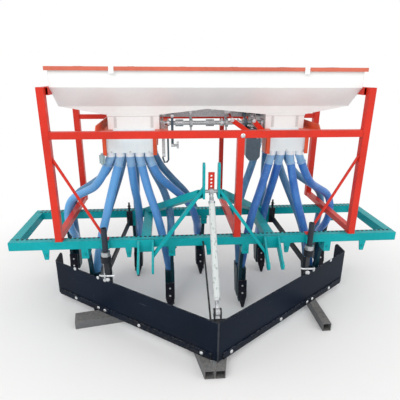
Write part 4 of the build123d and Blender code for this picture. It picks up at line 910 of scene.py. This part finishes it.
@dataclass
class Frame:
    """Teal main frame: its hole rows, welds and clamp bolts."""

    half: float = 1143.0
    depth: float = 530.0
    beam: float = 50.0
    hole_pitch: float = 27.0
    hole_inset: float = 9.0
    hole_margin: float = 40.0
    channel_edges: tuple[float, float] = (342.5, 397.5)
    channel_rises: tuple[float, float] = (-2.0, -46.0)
    bracket_edges: tuple[float, float] = (323.0, 417.0)
    lug_drop: float = 62.0
    lug_half: float = 20.0
    lug_bolt: float = 45.0
    bolt_size: float = 0.8
    shank_offset: float = 16.0
    shank_left: tuple[int, ...] = (1, 2, 3, 6)

    def build(self) -> None:
        """Dresses the frame and adds what repeats along it."""
        dress(Look.TEAL, "front_beam", "rear_beam", "end_members", "hitch_channels", "hitch_brackets",
              "mast_lugs", "mast_front_legs", "mast_rear_braces", "hanger_cradles", "row_clamps")
        self.hole_rows()
        self.welds()
        self.clamp_bolts()

    def hole_rows(self) -> None:
        """Rows of dark discs along the beams' tops, painted shade that stands for drilled holes."""
        count = round((2 * self.half - 2 * self.hole_margin) / self.hole_pitch)
        setbacks = (self.beam - self.hole_inset, self.depth - self.hole_inset,
                    self.depth - self.beam + self.hole_inset)
        spots = [Spot(place(-self.half + self.hole_margin + index * self.hole_pitch, back, 0.0), UP)
                 for back in setbacks for index in range(count + 1)]
        discs().apply("beam_holes", spots, Look.HOLE_SHADOW, Slot.TEAL)

    def seams(self, side: int) -> Iterator[tuple[Point, Point, Vector, float, int]]:
        """Finds the welds of one side of the frame.

        Args:
            side: 1 for the right and -1 for the left.

        Yields:
            Start and end of each weld, the way it faces, and the size and seed of its beads.
        """
        inner = (self.beam, self.depth - self.beam)
        for back in inner:
            yield (side * (self.half - self.beam), back, 0), (side * self.half, back, 0), UP, 0.6, 3
        top, foot = self.channel_rises
        for x in self.channel_edges:
            for back in inner:
                yield (side * x, back, top), (side * x, back, foot), FORWARD, 0.55, 5
        for x in self.bracket_edges:
            yield (side * x, -1, 0), (side * x, -1, -self.beam), FORWARD, 0.7, 7
        yield (side * self.bracket_edges[0], -1, 0), (side * self.bracket_edges[1], -1, 0), FORWARD, 0.7, 9

    def welds(self) -> None:
        """Weld beads where members, brackets and mast meet the beams."""
        spots = [spot for side in SIDES for start, end, aim, size, seed in self.seams(side)
                 for spot in beads(place(*start), place(*end), aim, size, seed)]
        domes(1).apply("frame_welds", spots, Look.WELD, Slot.TEAL)

    def clamp_bolts(self) -> None:
        """Bolts through the lugs that hang under both beams."""
        spots = []
        middle = -self.beam - self.lug_drop * 0.5
        for index, x in enumerate(ROWS):
            rear = index % 2 == 0
            shank = x + self.shank_offset * (-1 if index + 1 in self.shank_left else 1)
            front_face = self.depth - self.beam if rear else 0.0
            spots.append(Spot(place(shank, front_face, middle), FORWARD, self.bolt_size))
            spots += [Spot(place(shank + way * self.lug_half, front_face + self.lug_bolt,
                                 -self.beam - self.lug_drop * 0.45), way * RIGHT, self.bolt_size)
                      for way in SIDES]
            if rear:
                spots.append(Spot(place(x, 0, middle), FORWARD, self.bolt_size))
        hex_bolts().apply("clamp_bolts", spots, Look.TEAL, Slot.TEAL)


@dataclass
class Stand:
    """Red stand round the hopper: its caps, its welds, the rail bolts and the bolt on the front bar."""

    post: float = 861.0
    side: float = 38.0
    rail: float = 850.0
    middle: float = 165.0
    bar_rise: float = 600.0
    rail_bolts: tuple[float, ...] = (-262, -582, 328, 588)
    rail_setbacks: tuple[float, float] = (58, 700)

    def build(self) -> None:
        """Dresses the stand and adds its small parts."""
        dress(Look.RED, "front_posts", "rear_posts", "top_rails", "bottom_rails", "front_bar", "rear_bar",
              "brace_rods", "adjuster_bar")
        dress(Look.ORANGE, "cross_rails", "meter_side_plates")
        self.caps()
        self.welds()
        bolt = Spot(place(self.middle + 8, 0, self.bar_rise - 6), FORWARD, 2.3)
        domes().apply("bar_bolt", [bolt], Look.BRIGHT)
        rail_bolts = [Spot(place(x, back, self.bar_rise + 2), UP, 0.8)
                      for x in self.rail_bolts for back in self.rail_setbacks]
        hex_bolts().apply("rail_bolts", rail_bolts, Look.ZINC)

    def caps(self) -> None:
        """Flat plates that close the tops of the front posts and the rails' ends."""
        shape = bmesh.new()
        for side in SIDES:
            for x, half, low, high in ((self.post, 17.5, (1.5, 834), (36.5, 840.6)),
                                       (self.rail, 18.5, (758, 803), (764.6, 838.5))):
                slab(shape, (side * x - half, *low), (side * x + half, *high), 0.0015)
        mesh_piece("stand_caps", shape, Look.RED, Slot.RED)

    def welds(self) -> None:
        """Weld beads round the posts' feet and at the bars' ends."""
        spots = []
        half = self.side / 2
        for x in (-self.post, self.post, self.middle):
            corners = [place(x + across, back, 0) for across, back in (
                (-half, 0), (half, 0), (half, self.side), (-half, self.side))]
            for start, end in zip(corners, corners[1:] + corners[:1]):
                spots += beads(start, end, UP, 0.6, 11)
        for side in SIDES:
            for back in (0, self.side):
                foot, top = (place(side * (self.post - half), back, self.bar_rise + way * half)
                             for way in SIDES)
                spots += beads(foot, top, side * RIGHT, 0.5, 13)
        domes(1).apply("stand_welds", spots, Look.RED_WELD, Slot.RED)


@dataclass
class Hopper:
    """White hopper with its lid, rivets, and the lips of its metering boxes."""

    half: float = 830.0
    rivet_pitch: int = 60
    rivet_rise: float = 905.0
    latch_rivets: tuple[float, float] = (500.0, 520.0)
    latch_at: tuple[float, float] = (42.0, 932.0)
    lid_top: float = 940.4
    rib_pitch: int = 280
    rib_line: Outline = ((110, 1), (150, 0), (610, 0), (650, 1))
    rib_outline: Outline = ((-0.014, -0.002), (0.014, -0.002), (0.010, 0.0002), (-0.010, 0.0002))
    box_faces: tuple[float, float] = (194.0, 473.0)
    lip: float = 3.0
    lip_rises: tuple[float, float] = (676.0, 690.0)

    def build(self) -> None:
        """Dresses the hopper and lid, and adds rivets, ribs and lips."""
        dress(Look.WHITE, "hopper_walls", "hopper_divider", "hopper_ends", "hopper_floors", "metering_boxes",
              "lid_fittings")
        dress(Look.RIM, "lid", "lid_hinges")
        self.rivets()
        self.lid_ribs()
        self.box_lips()

    def rivets(self) -> None:
        """Rivets down the folded ends and beside the latches."""
        spots = []
        for side in SIDES:
            spots += [Spot(place(side * self.half, back, self.rivet_rise), side * RIGHT, 0.7)
                      for back in range(90, 690, self.rivet_pitch)]
            spots += [Spot(place(side * x, *self.latch_at), FORWARD, 0.4) for x in self.latch_rivets]
        domes().apply("hopper_rivets", spots, Look.BRIGHT)

    def lid_ribs(self) -> None:
        """Pressed ribs across the lid, each with sloped sides and ends."""
        shape = bmesh.new()
        for x in range(-700, 701, self.rib_pitch):
            line = [place(x, back, self.lid_top - sunk) for back, sunk in self.rib_line]
            sweep(shape, line, self.rib_outline, RIGHT)
        mesh_piece("lid_ribs", shape, Look.RIM, Slot.LID, Body.LID)

    def box_lips(self) -> None:
        """Folded lips where the metering boxes meet the throats."""
        shape = bmesh.new()
        low, high = self.lip_rises
        for x, width in METERING_BOXES:
            reach = width / 2 + self.lip
            for front in self.box_faces:
                slab(shape, (x - reach, front, low), (x + reach, front + self.lip, high))
        mesh_piece("box_lips", shape, Look.WHITE, Slot.WHITE)


@dataclass
class Feed:
    """Metering units, cups and the shaft with its chain."""

    guard_x: float = 264.5
    chain_radius: float = 0.046
    chain_pitch: float = 0.0145
    collars_at: tuple[float, ...] = (-232, -96, 84, 180)
    collar: float = 14.0
    collar_radius: float = 0.0185
    screw_faces: Outline = ((179.8, -1), (580.2, 1))
    screw_middles: tuple[float, float] = (-448, 476)
    screw_reach: float = 108.0
    screw_rise: float = 475.0

    def build(self) -> None:
        """Dresses the feed and adds chain, collars and screws."""
        dress(Look.METER, "meters")
        dress(Look.CUP, "cups")
        dress(Look.ZINC, "shaft_bearings", "feed_shaft", "drive_sprocket")
        dress(Look.SLATE, "chain_guard")
        # Painted shade: the hood's grey sheet stands in for the shade on the hopper floor between the metering
        # boxes.
        dress(Look.HOOD_SHADE, "feed_hood")
        self.chain()
        self.collars()
        screws = [Spot(place(x + step * self.screw_reach, back, self.screw_rise), Vector((0, way, 0)), 0.5)
                  for back, way in self.screw_faces for x in self.screw_middles for step in (-1, 0, 1)]
        hex_bolts().apply("meter_screws", screws, Look.BRIGHT)

    def chain(self) -> None:
        """Roller chain from the sprocket down into its guard."""
        radius = self.chain_radius
        arc = [(radius * math.cos(angle), radius * math.sin(angle))
               for angle in (math.pi * index / 10 for index in range(11))]
        runs = [(way * radius, -self.chain_pitch * index) for index in range(1, 8) for way in SIDES]
        spots = [Spot(place(self.guard_x, *SHAFT) + Vector((0, *at)), RIGHT) for at in arc + runs]
        rollers().apply("drive_chain", spots, Look.ZINC)

    def collars(self) -> None:
        """Split collars on the feed shaft, each with its screw's boss."""
        shape = bmesh.new()
        back, rise = SHAFT
        for x in self.collars_at:
            rod(shape, ((x, *SHAFT), (x + self.collar, *SHAFT)), self.collar_radius, sides=20)
            slab(shape, (x + 3, back - 4, rise + 16), (x + 11, back + 4, rise + 26))
        mesh_piece("shaft_collars", shape, Look.BRIGHT, Slot.STEEL, Body.SHAFT)


@dataclass
class Gear:
    """Straps, levers and rods round the feed shaft, between the metering boxes."""

    hood_face: float = 287.0
    strap: float = 5.0
    slot_inset: float = 42.0
    slide_setbacks: tuple[float, float] = (195.2, 562.8)
    flanges_at: tuple[float, ...] = (-602, -316, 350, 580)
    flange_setbacks: tuple[float, float] = (167, 590)
    flange: float = 22.0
    flange_sheet: float = 3.0
    hanger_straps: tuple[float, float] = (-92, 118)
    strap_radius: float = 0.0205
    lever_lines: tuple[tuple[Point, Point], ...] = (((140, 182, 655), (264, 182, 570)),
                                                    ((268, 182, 650), (340, 182, 576)))
    lever_outline: tuple[float, float] = (0.0025, 0.0135)
    clutch_x: float = 226.0
    clutch_rings: tuple[Point, ...] = ((-0.004, 0.004, 0.034), (0.004, 0.016, 0.026))
    clutch_bore: float = 0.0155
    rod_line: tuple[Point, ...] = ((-252, 208, 596), (-236, 206, 590), (-229, 205, 572), (-228, 205, 420),
                                   (-236, 207, 408), (-252, 211, 404), (-262, 211, 436))
    rod_radius: float = 0.0055
    shield: Outline = ((232, 545), (318, 545), (318, 436), (300, 414), (252, 414), (232, 436))
    shield_faces: tuple[float, float] = (184, 187)

    def build(self) -> None:
        """Makes the straps, levers, dark rods, flanges, slot slides and end cup."""
        self.straps()
        self.levers()
        self.dark_parts()
        self.bolts()
        self.flanges()
        self.slides()
        self.end_cup()

    def straps(self) -> None:
        """Galvanised straps that carry the shaft, and the plates beside them."""
        shape = bmesh.new()
        hood, inside = self.hood_face, self.hood_face - self.strap
        for x in self.hanger_straps:
            hoop(shape, x, self.strap_radius, 28, oblong(-0.008, 0.008, 0.004))
            slab(shape, (x - 7, 262, 624), (x + 7, hood, 640))
            slab(shape, (x - 7, inside, 624), (x + 7, hood, 702))
            slab(shape, (x - 5, 238, 578), (x + 5, 246, 610))
        for low, high in (((-264, 211, 436), (-246, 216, 646)), ((-205, 209, 498), (-166, 214, 514)),
                          ((-178, 205, 488), (-166, 209, 530)), ((280, inside, 664), (342, hood, 686)),
                          ((292, hood - 26, 640), (298, hood, 690))):
            slab(shape, low, high)
        mesh_piece("feed_straps", shape, Look.ZINC, Slot.STEEL)

    def levers(self) -> None:
        """Red levers that slope down behind the front bar, and the rod that the upper one turns on."""
        shape = bmesh.new()
        thin, half = self.lever_outline
        for start, end in self.lever_lines:
            sweep(shape, [place(*start), place(*end)], oblong(-thin, thin, half), -FORWARD)
        rod(shape, ((142, 178, 653), (142, self.hood_face, 676)), 0.0058, RIGHT)
        mesh_piece("feed_levers", shape, Look.RED, Slot.RED)

    def dark_parts(self) -> None:
        """Dark strap across the shaft, the rod down to the cups, the clutch by the chain and its shield."""
        shape = bmesh.new()
        hood = self.hood_face
        slab(shape, (-210, 214, 496), (-195, 220, 692))
        slab(shape, (-210, 214, 684), (-195, hood, 692))
        rod(shape, self.rod_line, self.rod_radius, -FORWARD)
        for start, end, radius in self.clutch_rings:
            hoop(shape, self.clutch_x, (radius + 0.013) / 2, 24,
                 oblong(start, end, (radius - self.clutch_bore) / 2))
        slab(shape, (self.clutch_x - 7, 240, 664), (self.clutch_x + 7, hood, 700), 0.002)
        slab(shape, (286, hood - 6, 671), (330, hood - 4.5, 679), 0.0)
        front, back = ([shape.verts.new(place(x, deep, rise)) for x, rise in self.shield]
                       for deep in self.shield_faces)
        shape.faces.new(front)
        shape.faces.new(list(reversed(back)))
        for index in range(len(front)):
            after = (index + 1) % len(front)
            shape.faces.new((front[index], back[index], back[after], front[after]))
        for x in (232, 315.5):
            slab(shape, (x, 187, 440), (x + 2.5, 232, 545), 0.0005)
        mesh_piece("feed_clutch", shape, Look.SLATE, Slot.SLATE)

    def bolts(self) -> None:
        """Hexagon bolts on the hood, the straps and the levers."""
        hood, inside = self.hood_face, self.hood_face - self.strap
        spots = [Spot(place(x, back, rise), FORWARD, size) for x, back, rise, size in (
            (-92, inside, 690, 0.8), (118, inside, 690, 0.8), (132, hood, 700, 1.7), (-202, 214, 676, 0.8),
            (-202, 214, 506, 0.7), (-172, 205, 522, 0.6), (-255, 211, 560, 0.8), (-255, 211, 450, 0.7),
            (142, 179, 655, 1.0), (260, 179, 573, 0.9), (270, 179, 648, 0.9), (336, 179, 580, 0.9),
            (288, inside, 675, 0.5), (336, inside, 675, 0.5), (-250, hood, 676, 0.8), (40, hood, 704, 0.7),
            (-60, hood, 702, 0.7))]
        hex_bolts().apply("feed_bolts", spots, Look.BRIGHT)

    def flanges(self) -> None:
        """Folded flanges on the metering units' side plates."""
        shape = bmesh.new()
        for x in self.flanges_at:
            for back in self.flange_setbacks:
                slab(shape, (x, back, 457), (x + self.flange, back + self.flange_sheet, 594), 0.0008)
        mesh_piece("meter_flanges", shape, Look.ORANGE, Slot.RED)

    def slides(self) -> None:
        """Pale slides over the slots of the metering boxes, each with a small grip."""
        shape = bmesh.new()
        for x, width in METERING_BOXES:
            for way in SIDES:
                middle = x + way * (width / 2 - self.slot_inset)
                for back in self.slide_setbacks:
                    slab(shape, (middle - 8, back, 612), (middle + 8, back + 2, 683), 0.0006)
                    slab(shape, (middle - 3, back - 1.2, 624), (middle + 3, back + 3.2, 630), 0.0006)
        mesh_piece("slot_slides", shape, Look.SLIDE, Slot.PALE)

    def end_cup(self) -> None:
        """Small closed cup that hangs at the left end of the metering units."""
        shape = bmesh.new()
        slab(shape, (-625, 154, 404), (-594, 188, 470), 0.009)
        slab(shape, (-621, 184, 440), (-601.5, 214, 466), 0.004)
        mesh_piece("end_cup", shape, Look.END_CUP, Slot.PALE)


def mirrored(points: Sequence[Point]) -> list[Point]:
    """The same points on the other side of the drill."""
    return [(-x, setback, rise) for x, setback, rise in points]


@dataclass
class Hoses:
    """Hoses from the cups to the boots.

    A route's points are each given across the drill, behind the front beam's face and above the frame's top, in
    millimetres.
    """

    radius: float = 0.025
    sleeve: float = 57.0
    cup_foot: float = 445.0
    clamp: float = 2.32

    @property
    def fertilizer(self) -> list[list[Point]]:
        """Lists the routes of the front hoses.

        Returns:
            The routes, from the left.
        """
        outer = [(-655, 250, 260), (-765, 345, 185), (-878, 418, 118), (-921, 440, 0), (-908, 462, -130),
                 (-906, 588, -235), (-942, 656, -335)]
        return [
            outer,
            [(-575, 188, 225), (-628, 160, 20), (-680, 172, -150), (-708, 194, -335)],
            [(-445, 250, 260), (-430, 365, 80), (-435, 445, -75), (-443, 596, -225), (-472, 656, -335)],
            [(-365, 195, 270), (-300, 172, 70), (-258, 170, -140), (-232, 194, -335)],
            [(-300, 235, 320), (-215, 290, 225), (-95, 370, 95), (-35, 445, -75), (-27, 596, -225),
             (2, 656, -335)],
            [(345, 192, 255), (285, 170, 75), (256, 170, -120), (236, 194, -335)],
            [(430, 255, 255), (425, 365, 80), (432, 445, -75), (444, 596, -225), (472, 656, -335)],
            [(545, 190, 240), (605, 165, 40), (672, 172, -150), (707, 194, -335)],
            mirrored(outer),
        ]

    @property
    def seed(self) -> list[list[Point]]:
        """Lists the routes of the rear hoses.

        Returns:
            The routes, from the left.
        """
        left = [
            [(-645, 565, 255), (-770, 578, 165), (-884, 596, 98), (-929, 622, -16), (-932, 668, -180),
             (-940, 713, -335)],
            [(-545, 515, 290), (-600, 420, 130), (-655, 320, -20), (-690, 262, -170), (-707, 247, -335)],
            [(-455, 575, 280), (-460, 590, 100), (-462, 612, -90), (-470, 713, -335)],
            [(-350, 520, 300), (-255, 440, 150), (-215, 335, 0), (-228, 262, -165), (-236, 247, -335)],
        ]
        middle = [(-300, 572, 320), (-205, 585, 200), (-85, 600, 70), (-15, 625, -100), (0, 713, -335)]
        beside_mast = [(350, 520, 300), (288, 455, 170), (216, 346, 0), (230, 262, -165), (236, 247, -335)]
        return left + [middle, beside_mast] + [mirrored(route) for route in reversed(left[:3])]

    def build(self) -> None:
        """Makes every hose, its sleeve and its clamp."""
        dress(Look.SLEEVE, "hose_sleeves")
        clamps = [self.hose(f"{node[:-1]}_{index}", node, place(cup, row, self.cup_foot), route, look)
                  for node, row, routes, look in (("fertilizer_hoses", CUP_ROWS[0], self.fertilizer, Look.HOSE),
                                                  ("seed_hoses", CUP_ROWS[1], self.seed, Look.REAR_HOSE))
                  for index, (cup, route) in enumerate(zip(CUPS, routes), start=1)]
        rings().apply("hose_clamps", clamps, Look.SLEEVE, Slot.SLEEVE)

    def hose(self, name: str, node: str, head: Vector, route: Sequence[Point], look: Look) -> Spot:
        """Makes one hose as a smooth curve.

        Args:
            name: Name of the piece.
            node: CAD node that it stands for.
            head: Foot of its cup.
            route: Points that guide it.
            look: Its finish.

        Returns:
            Where its clamp sits.
        """
        points = [place(*point) for point in route]
        leave = (points[0] - head).normalized()
        points.insert(0, head + leave * self.sleeve / 1000)
        curve = bpy.data.curves.new(name, "CURVE")
        curve.dimensions = "3D"
        spline = curve.splines.new("NURBS")
        spline.points.add(len(points) - 1)
        for control, point in zip(spline.points, points):
            control.co = (*point, 1.0)
        spline.order_u = 3
        spline.use_endpoint_u = True
        curve.bevel_depth = self.radius
        curve.bevel_resolution = 6
        curve.resolution_u = 14
        curve.use_fill_caps = True
        curve.materials.append(look.material())
        piece = in_scene(name, curve)
        settle(piece, Slot.HOSE)
        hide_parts(node)
        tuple(points[0])
        return Spot(points[0], leave, self.clamp)


@dataclass
class Tines:
    """Shanks, boots and shovels, with the two bolts on each shovel."""

    feet: tuple[float, float] = (520.0, 70.0)
    arc: float = 620.0
    arc_rise: float = -330.0
    bow: float = 63.0
    face_inset: float = 27.0
    bolt_rises: tuple[float, float] = (-398.0, -448.0)

    def build(self) -> None:
        """Dresses the tines and adds the shovels' bolts."""
        dress(Look.BOOT, "tine_shanks", "boots")
        dress(Look.SHOVEL, "shovels")
        spots = []
        for index, x in enumerate(ROWS):
            centre = self.feet[index % 2] + self.bow - self.arc
            for rise in self.bolt_rises:
                drop = rise - self.arc_rise
                reach = math.sqrt((self.arc - self.face_inset) ** 2 - drop ** 2)
                spots.append(Spot(place(x, centre + reach, rise), -Vector((0, reach, drop)).normalized(), 1.1))
        domes().apply("shovel_bolts", spots, Look.BRIGHT)


@dataclass
class Blade:
    """Levelling blade with its strips, hangers, stays and bolts."""

    reach: float = 462.0
    half_span: float = 980.0
    end_setback: float = 258.0
    strip_bolts: tuple[float, ...] = (94, 516, 786, 840, 1040)
    top_bolts: tuple[float, ...] = (772, 828, 1028)
    strip_rise: float = -470.0
    top_rise: float = -257.0
    strip: float = 6.0
    bolt_size: float = 1.9
    hanger_x: float = 600.0
    fork_bolt: tuple[float, float] = (-31, -238)
    pin_line: Outline = ((-46, -203), (-30, -208), (34, -210), (46, -205))
    pin_radius: float = 0.0062
    stay: tuple[float, float] = (505, 474)
    nut_rises: tuple[float, float] = (18, 34)

    def on_wing(self, side: int, run: float, rise: float, out: float) -> Spot:
        """Sets a bolt on a wing's face.

        Args:
            side: 1 for the right wing and -1 for the left.
            run: Distance from the blade's point along the wing in millimetres.
            rise: Height above the frame's top in millimetres.
            out: Distance off the outer face in millimetres.

        Returns:
            The bolt's spot.
        """
        angle = math.atan2(self.end_setback + self.reach, self.half_span)
        sine, cosine = math.sin(angle), math.cos(angle)
        point = place(side * (run * cosine + out * sine), -self.reach + run * sine - out * cosine, rise)
        return Spot(point, Vector((side * sine, -cosine, 0)), self.bolt_size)

    def build(self) -> None:
        """Dresses the blade and adds its bolts and its weld."""
        dress(Look.BLADE, "blade_wing_left", "blade_wing_right", "blade_strips")
        dress(Look.BLACK, "blade_straps", "blade_stays", "hanger_sleeves")
        dress(Look.PIPE, "hanger_pipes")
        dress(Look.ZINC, "hanger_collars")
        spots = []
        for side in SIDES:
            spots += [self.on_wing(side, run, self.strip_rise, self.strip) for run in self.strip_bolts]
            spots += [self.on_wing(side, run, self.top_rise, 0) for run in self.top_bolts]
        domes().apply("blade_bolts", spots, Look.BRIGHT)
        start, end = (Vector((0, FRONT_Y - self.reach / 1000 - 0.001, z)) for z in (0.052, 0.283))
        weld = beads(start, end, FORWARD, 0.75, 17, pitch=0.005, jitter=0.35)
        domes(1).apply("blade_weld", weld, Look.DARK_WELD, Slot.BLADE)
        self.hangers()

    def hangers(self) -> None:
        """White bolts and pins on the hangers' forks, and nuts on the stays' rods."""
        bolts = [Spot(place(side * self.hanger_x + 2, *self.fork_bolt), FORWARD, 2.3) for side in SIDES]
        domes().apply("hanger_bolts", bolts, Look.BRIGHT)
        shape = bmesh.new()
        for side in SIDES:
            x = side * (self.hanger_x - 2)
            rod(shape, [(x + across, -37, rise) for across, rise in self.pin_line], self.pin_radius)
            slab(shape, (x + 36, -43, -224), (x + 42, -31, -200), 0.002)
        mesh_piece("hanger_pins", shape, Look.BRIGHT, Slot.STEEL)
        nuts = [Spot(place(side * self.stay[0], self.stay[1], rise), UP)
                for side in SIDES for rise in self.nut_rises]
        hex_bolts().apply("stay_nuts", nuts, Look.BLACK, Slot.BLADE)


@dataclass
class Link:
    """Turnbuckle between the mast and the blade's point, with distances along it from its eyes in metres."""

    head: Point = (0, -50, 300)
    foot: Point = (0, -410, -222)
    thread_at: float = 0.036
    thread_pitch: float = 0.0038
    threads: int = 9
    nut: tuple[float, float] = (0.056, 0.069)
    nut_radius: float = 0.0185

    def build(self) -> None:
        """Dresses the turnbuckle, and adds its threads and lock nuts."""
        dress(Look.FLAKED, "turnbuckle")
        dress(Look.ZINC, "link_pins", "link_eyes")
        dress(Look.BLACK, "centre_rod", "turnbuckle_clevis")
        head, foot = place(*self.head), place(*self.foot)
        way = (foot - head).normalized()
        ends = ((head, 1), (foot, -1))
        threads = [Spot(start + way * sign * (self.thread_at + index * self.thread_pitch), way)
                   for start, sign in ends for index in range(self.threads)]
        rings().apply("link_threads", threads, Look.ZINC)
        shape = bmesh.new()
        for start, sign in ends:
            sweep(shape, [start + way * sign * reach for reach in self.nut], circle(self.nut_radius, 6), RIGHT)
        mesh_piece("lock_nuts", shape, Look.BRIGHT, Slot.STEEL)


@dataclass
class Studio:
    """Pale floor, soft lights and the camera at the photograph's viewpoint."""

    camera_at: Point = (-0.236, -2.1205, 1.4632)
    yaw: float = 4.56
    pitch: float = 19.38
    roll: float = 0.28
    focal: float = 376.1
    principal: tuple[float, float] = (196.4, 202.7)
    sensor: float = 36.0
    surround: float = 0.84
    lamp_aim: Point = (0, 0.1, 0.7)
    floor_half: float = 12.0
    floor_colour: tuple[float, ...] = (0.93, 0.93, 0.925, 1.0)
    fade: tuple[float, float] = (1.2, 2.6)

    def build(self) -> None:
        """Makes camera, world, lamps and floor."""
        self.camera()
        self.world()
        self.lamps()
        self.floor()

    def camera(self) -> None:
        """Sets the camera from its place, angles and focal length in pixels."""
        data = bpy.data.cameras.new("photo_camera")
        data.sensor_width = self.sensor
        data.sensor_fit = "HORIZONTAL"
        data.lens = self.focal / IMAGE_SIZE * data.sensor_width
        data.shift_x = (IMAGE_SIZE / 2 - self.principal[0]) / IMAGE_SIZE
        data.shift_y = (self.principal[1] - IMAGE_SIZE / 2) / IMAGE_SIZE
        yaw, pitch, roll = (math.radians(angle) for angle in (self.yaw, self.pitch, self.roll))
        forward = Vector((math.sin(yaw) * math.cos(pitch), math.cos(yaw) * math.cos(pitch), -math.sin(pitch)))
        right = forward.cross(UP).normalized()
        up = right.cross(forward)
        right, up = (right * math.cos(roll) + up * math.sin(roll), up * math.cos(roll) - right * math.sin(roll))
        camera = in_scene("photo_camera", data)
        camera.matrix_world = (Matrix.Translation(self.camera_at)
                               @ Matrix((right, up, -forward)).transposed().to_4x4())
        bpy.context.scene.camera = camera

    def world(self) -> None:
        """White surroundings that light the drill evenly, and are purely white where they are seen."""
        world = bpy.data.worlds.new("studio_world")
        world.use_nodes = True
        graph = Graph(world.node_tree)
        graph.tree.nodes.clear()
        rays = graph.add("ShaderNodeLightPath").outputs
        seen = graph.math("MAXIMUM", graph.math("MAXIMUM", rays["Is Camera Ray"], rays["Is Glossy Ray"]),
                          rays["Is Transmission Ray"])
        light, white = (graph.add("ShaderNodeBackground", {}, {0: WHITE, 1: strength}).outputs[0]
                        for strength in (self.surround, 1.0))
        both = graph.add("ShaderNodeMixShader", {}, {0: seen, 1: light, 2: white})
        graph.add("ShaderNodeOutputWorld", {}, {0: both.outputs[0]})
        bpy.context.scene.world = world

    def lamps(self) -> None:
        """Two large soft lamps above, one from the front left and one from the right."""
        for name, at, size, watts in (("key", (-2.2, -3.0, 3.6), 2.6, 56.0),
                                      ("fill", (3.0, -1.6, 2.6), 2.4, 20.0)):
            data = bpy.data.lights.new(name, "AREA")
            data.size = size
            data.energy = watts
            lamp = in_scene(name, data)
            lamp.location = at
            lamp.rotation_euler = (Vector(self.lamp_aim) - Vector(at)).to_track_quat("-Z", "Y").to_euler()

    def floor(self) -> None:
        """Pale floor that keeps the drill's shadow and fades into the surroundings."""
        shape = bmesh.new()
        bmesh.ops.create_grid(shape, x_segments=1, y_segments=1, size=self.floor_half)
        mesh = bpy.data.meshes.new("studio_floor")
        shape.to_mesh(mesh)
        shape.free()
        shader = Shader("floor_white")
        diffuse = shader.add("ShaderNodeBsdfDiffuse", {}, {0: self.floor_colour})
        glow = shader.add("ShaderNodeEmission", {}, {0: WHITE, 1: 1.0})
        reach = shader.add("ShaderNodeVectorMath", {"operation": "LENGTH"}, {0: shader.point}).outputs["Value"]
        mix = shader.add("ShaderNodeMixShader", {}, {0: shader.step(reach, *self.fade), 1: diffuse.outputs[0],
                                                     2: glow.outputs[0]})
        shader.add("ShaderNodeOutputMaterial", {}, {"Surface": mix.outputs[0]})
        mesh.materials.append(shader.material)
        in_scene("studio_floor", mesh)


def main() -> None:
    """Builds the drill's dressing, sub-assembly by sub-assembly."""
    logging.basicConfig(level=logging.INFO, format="%(name)s: %(message)s")
    bpy.context.scene.view_settings.view_transform = "Standard"
    for part in (Studio, Hoses, Frame, Stand, Hopper, Feed, Gear, Tines, Blade, Link):
        part().build()
    dress(Look.GREY, "floor_supports")


if __name__ == "__main__":
    main()
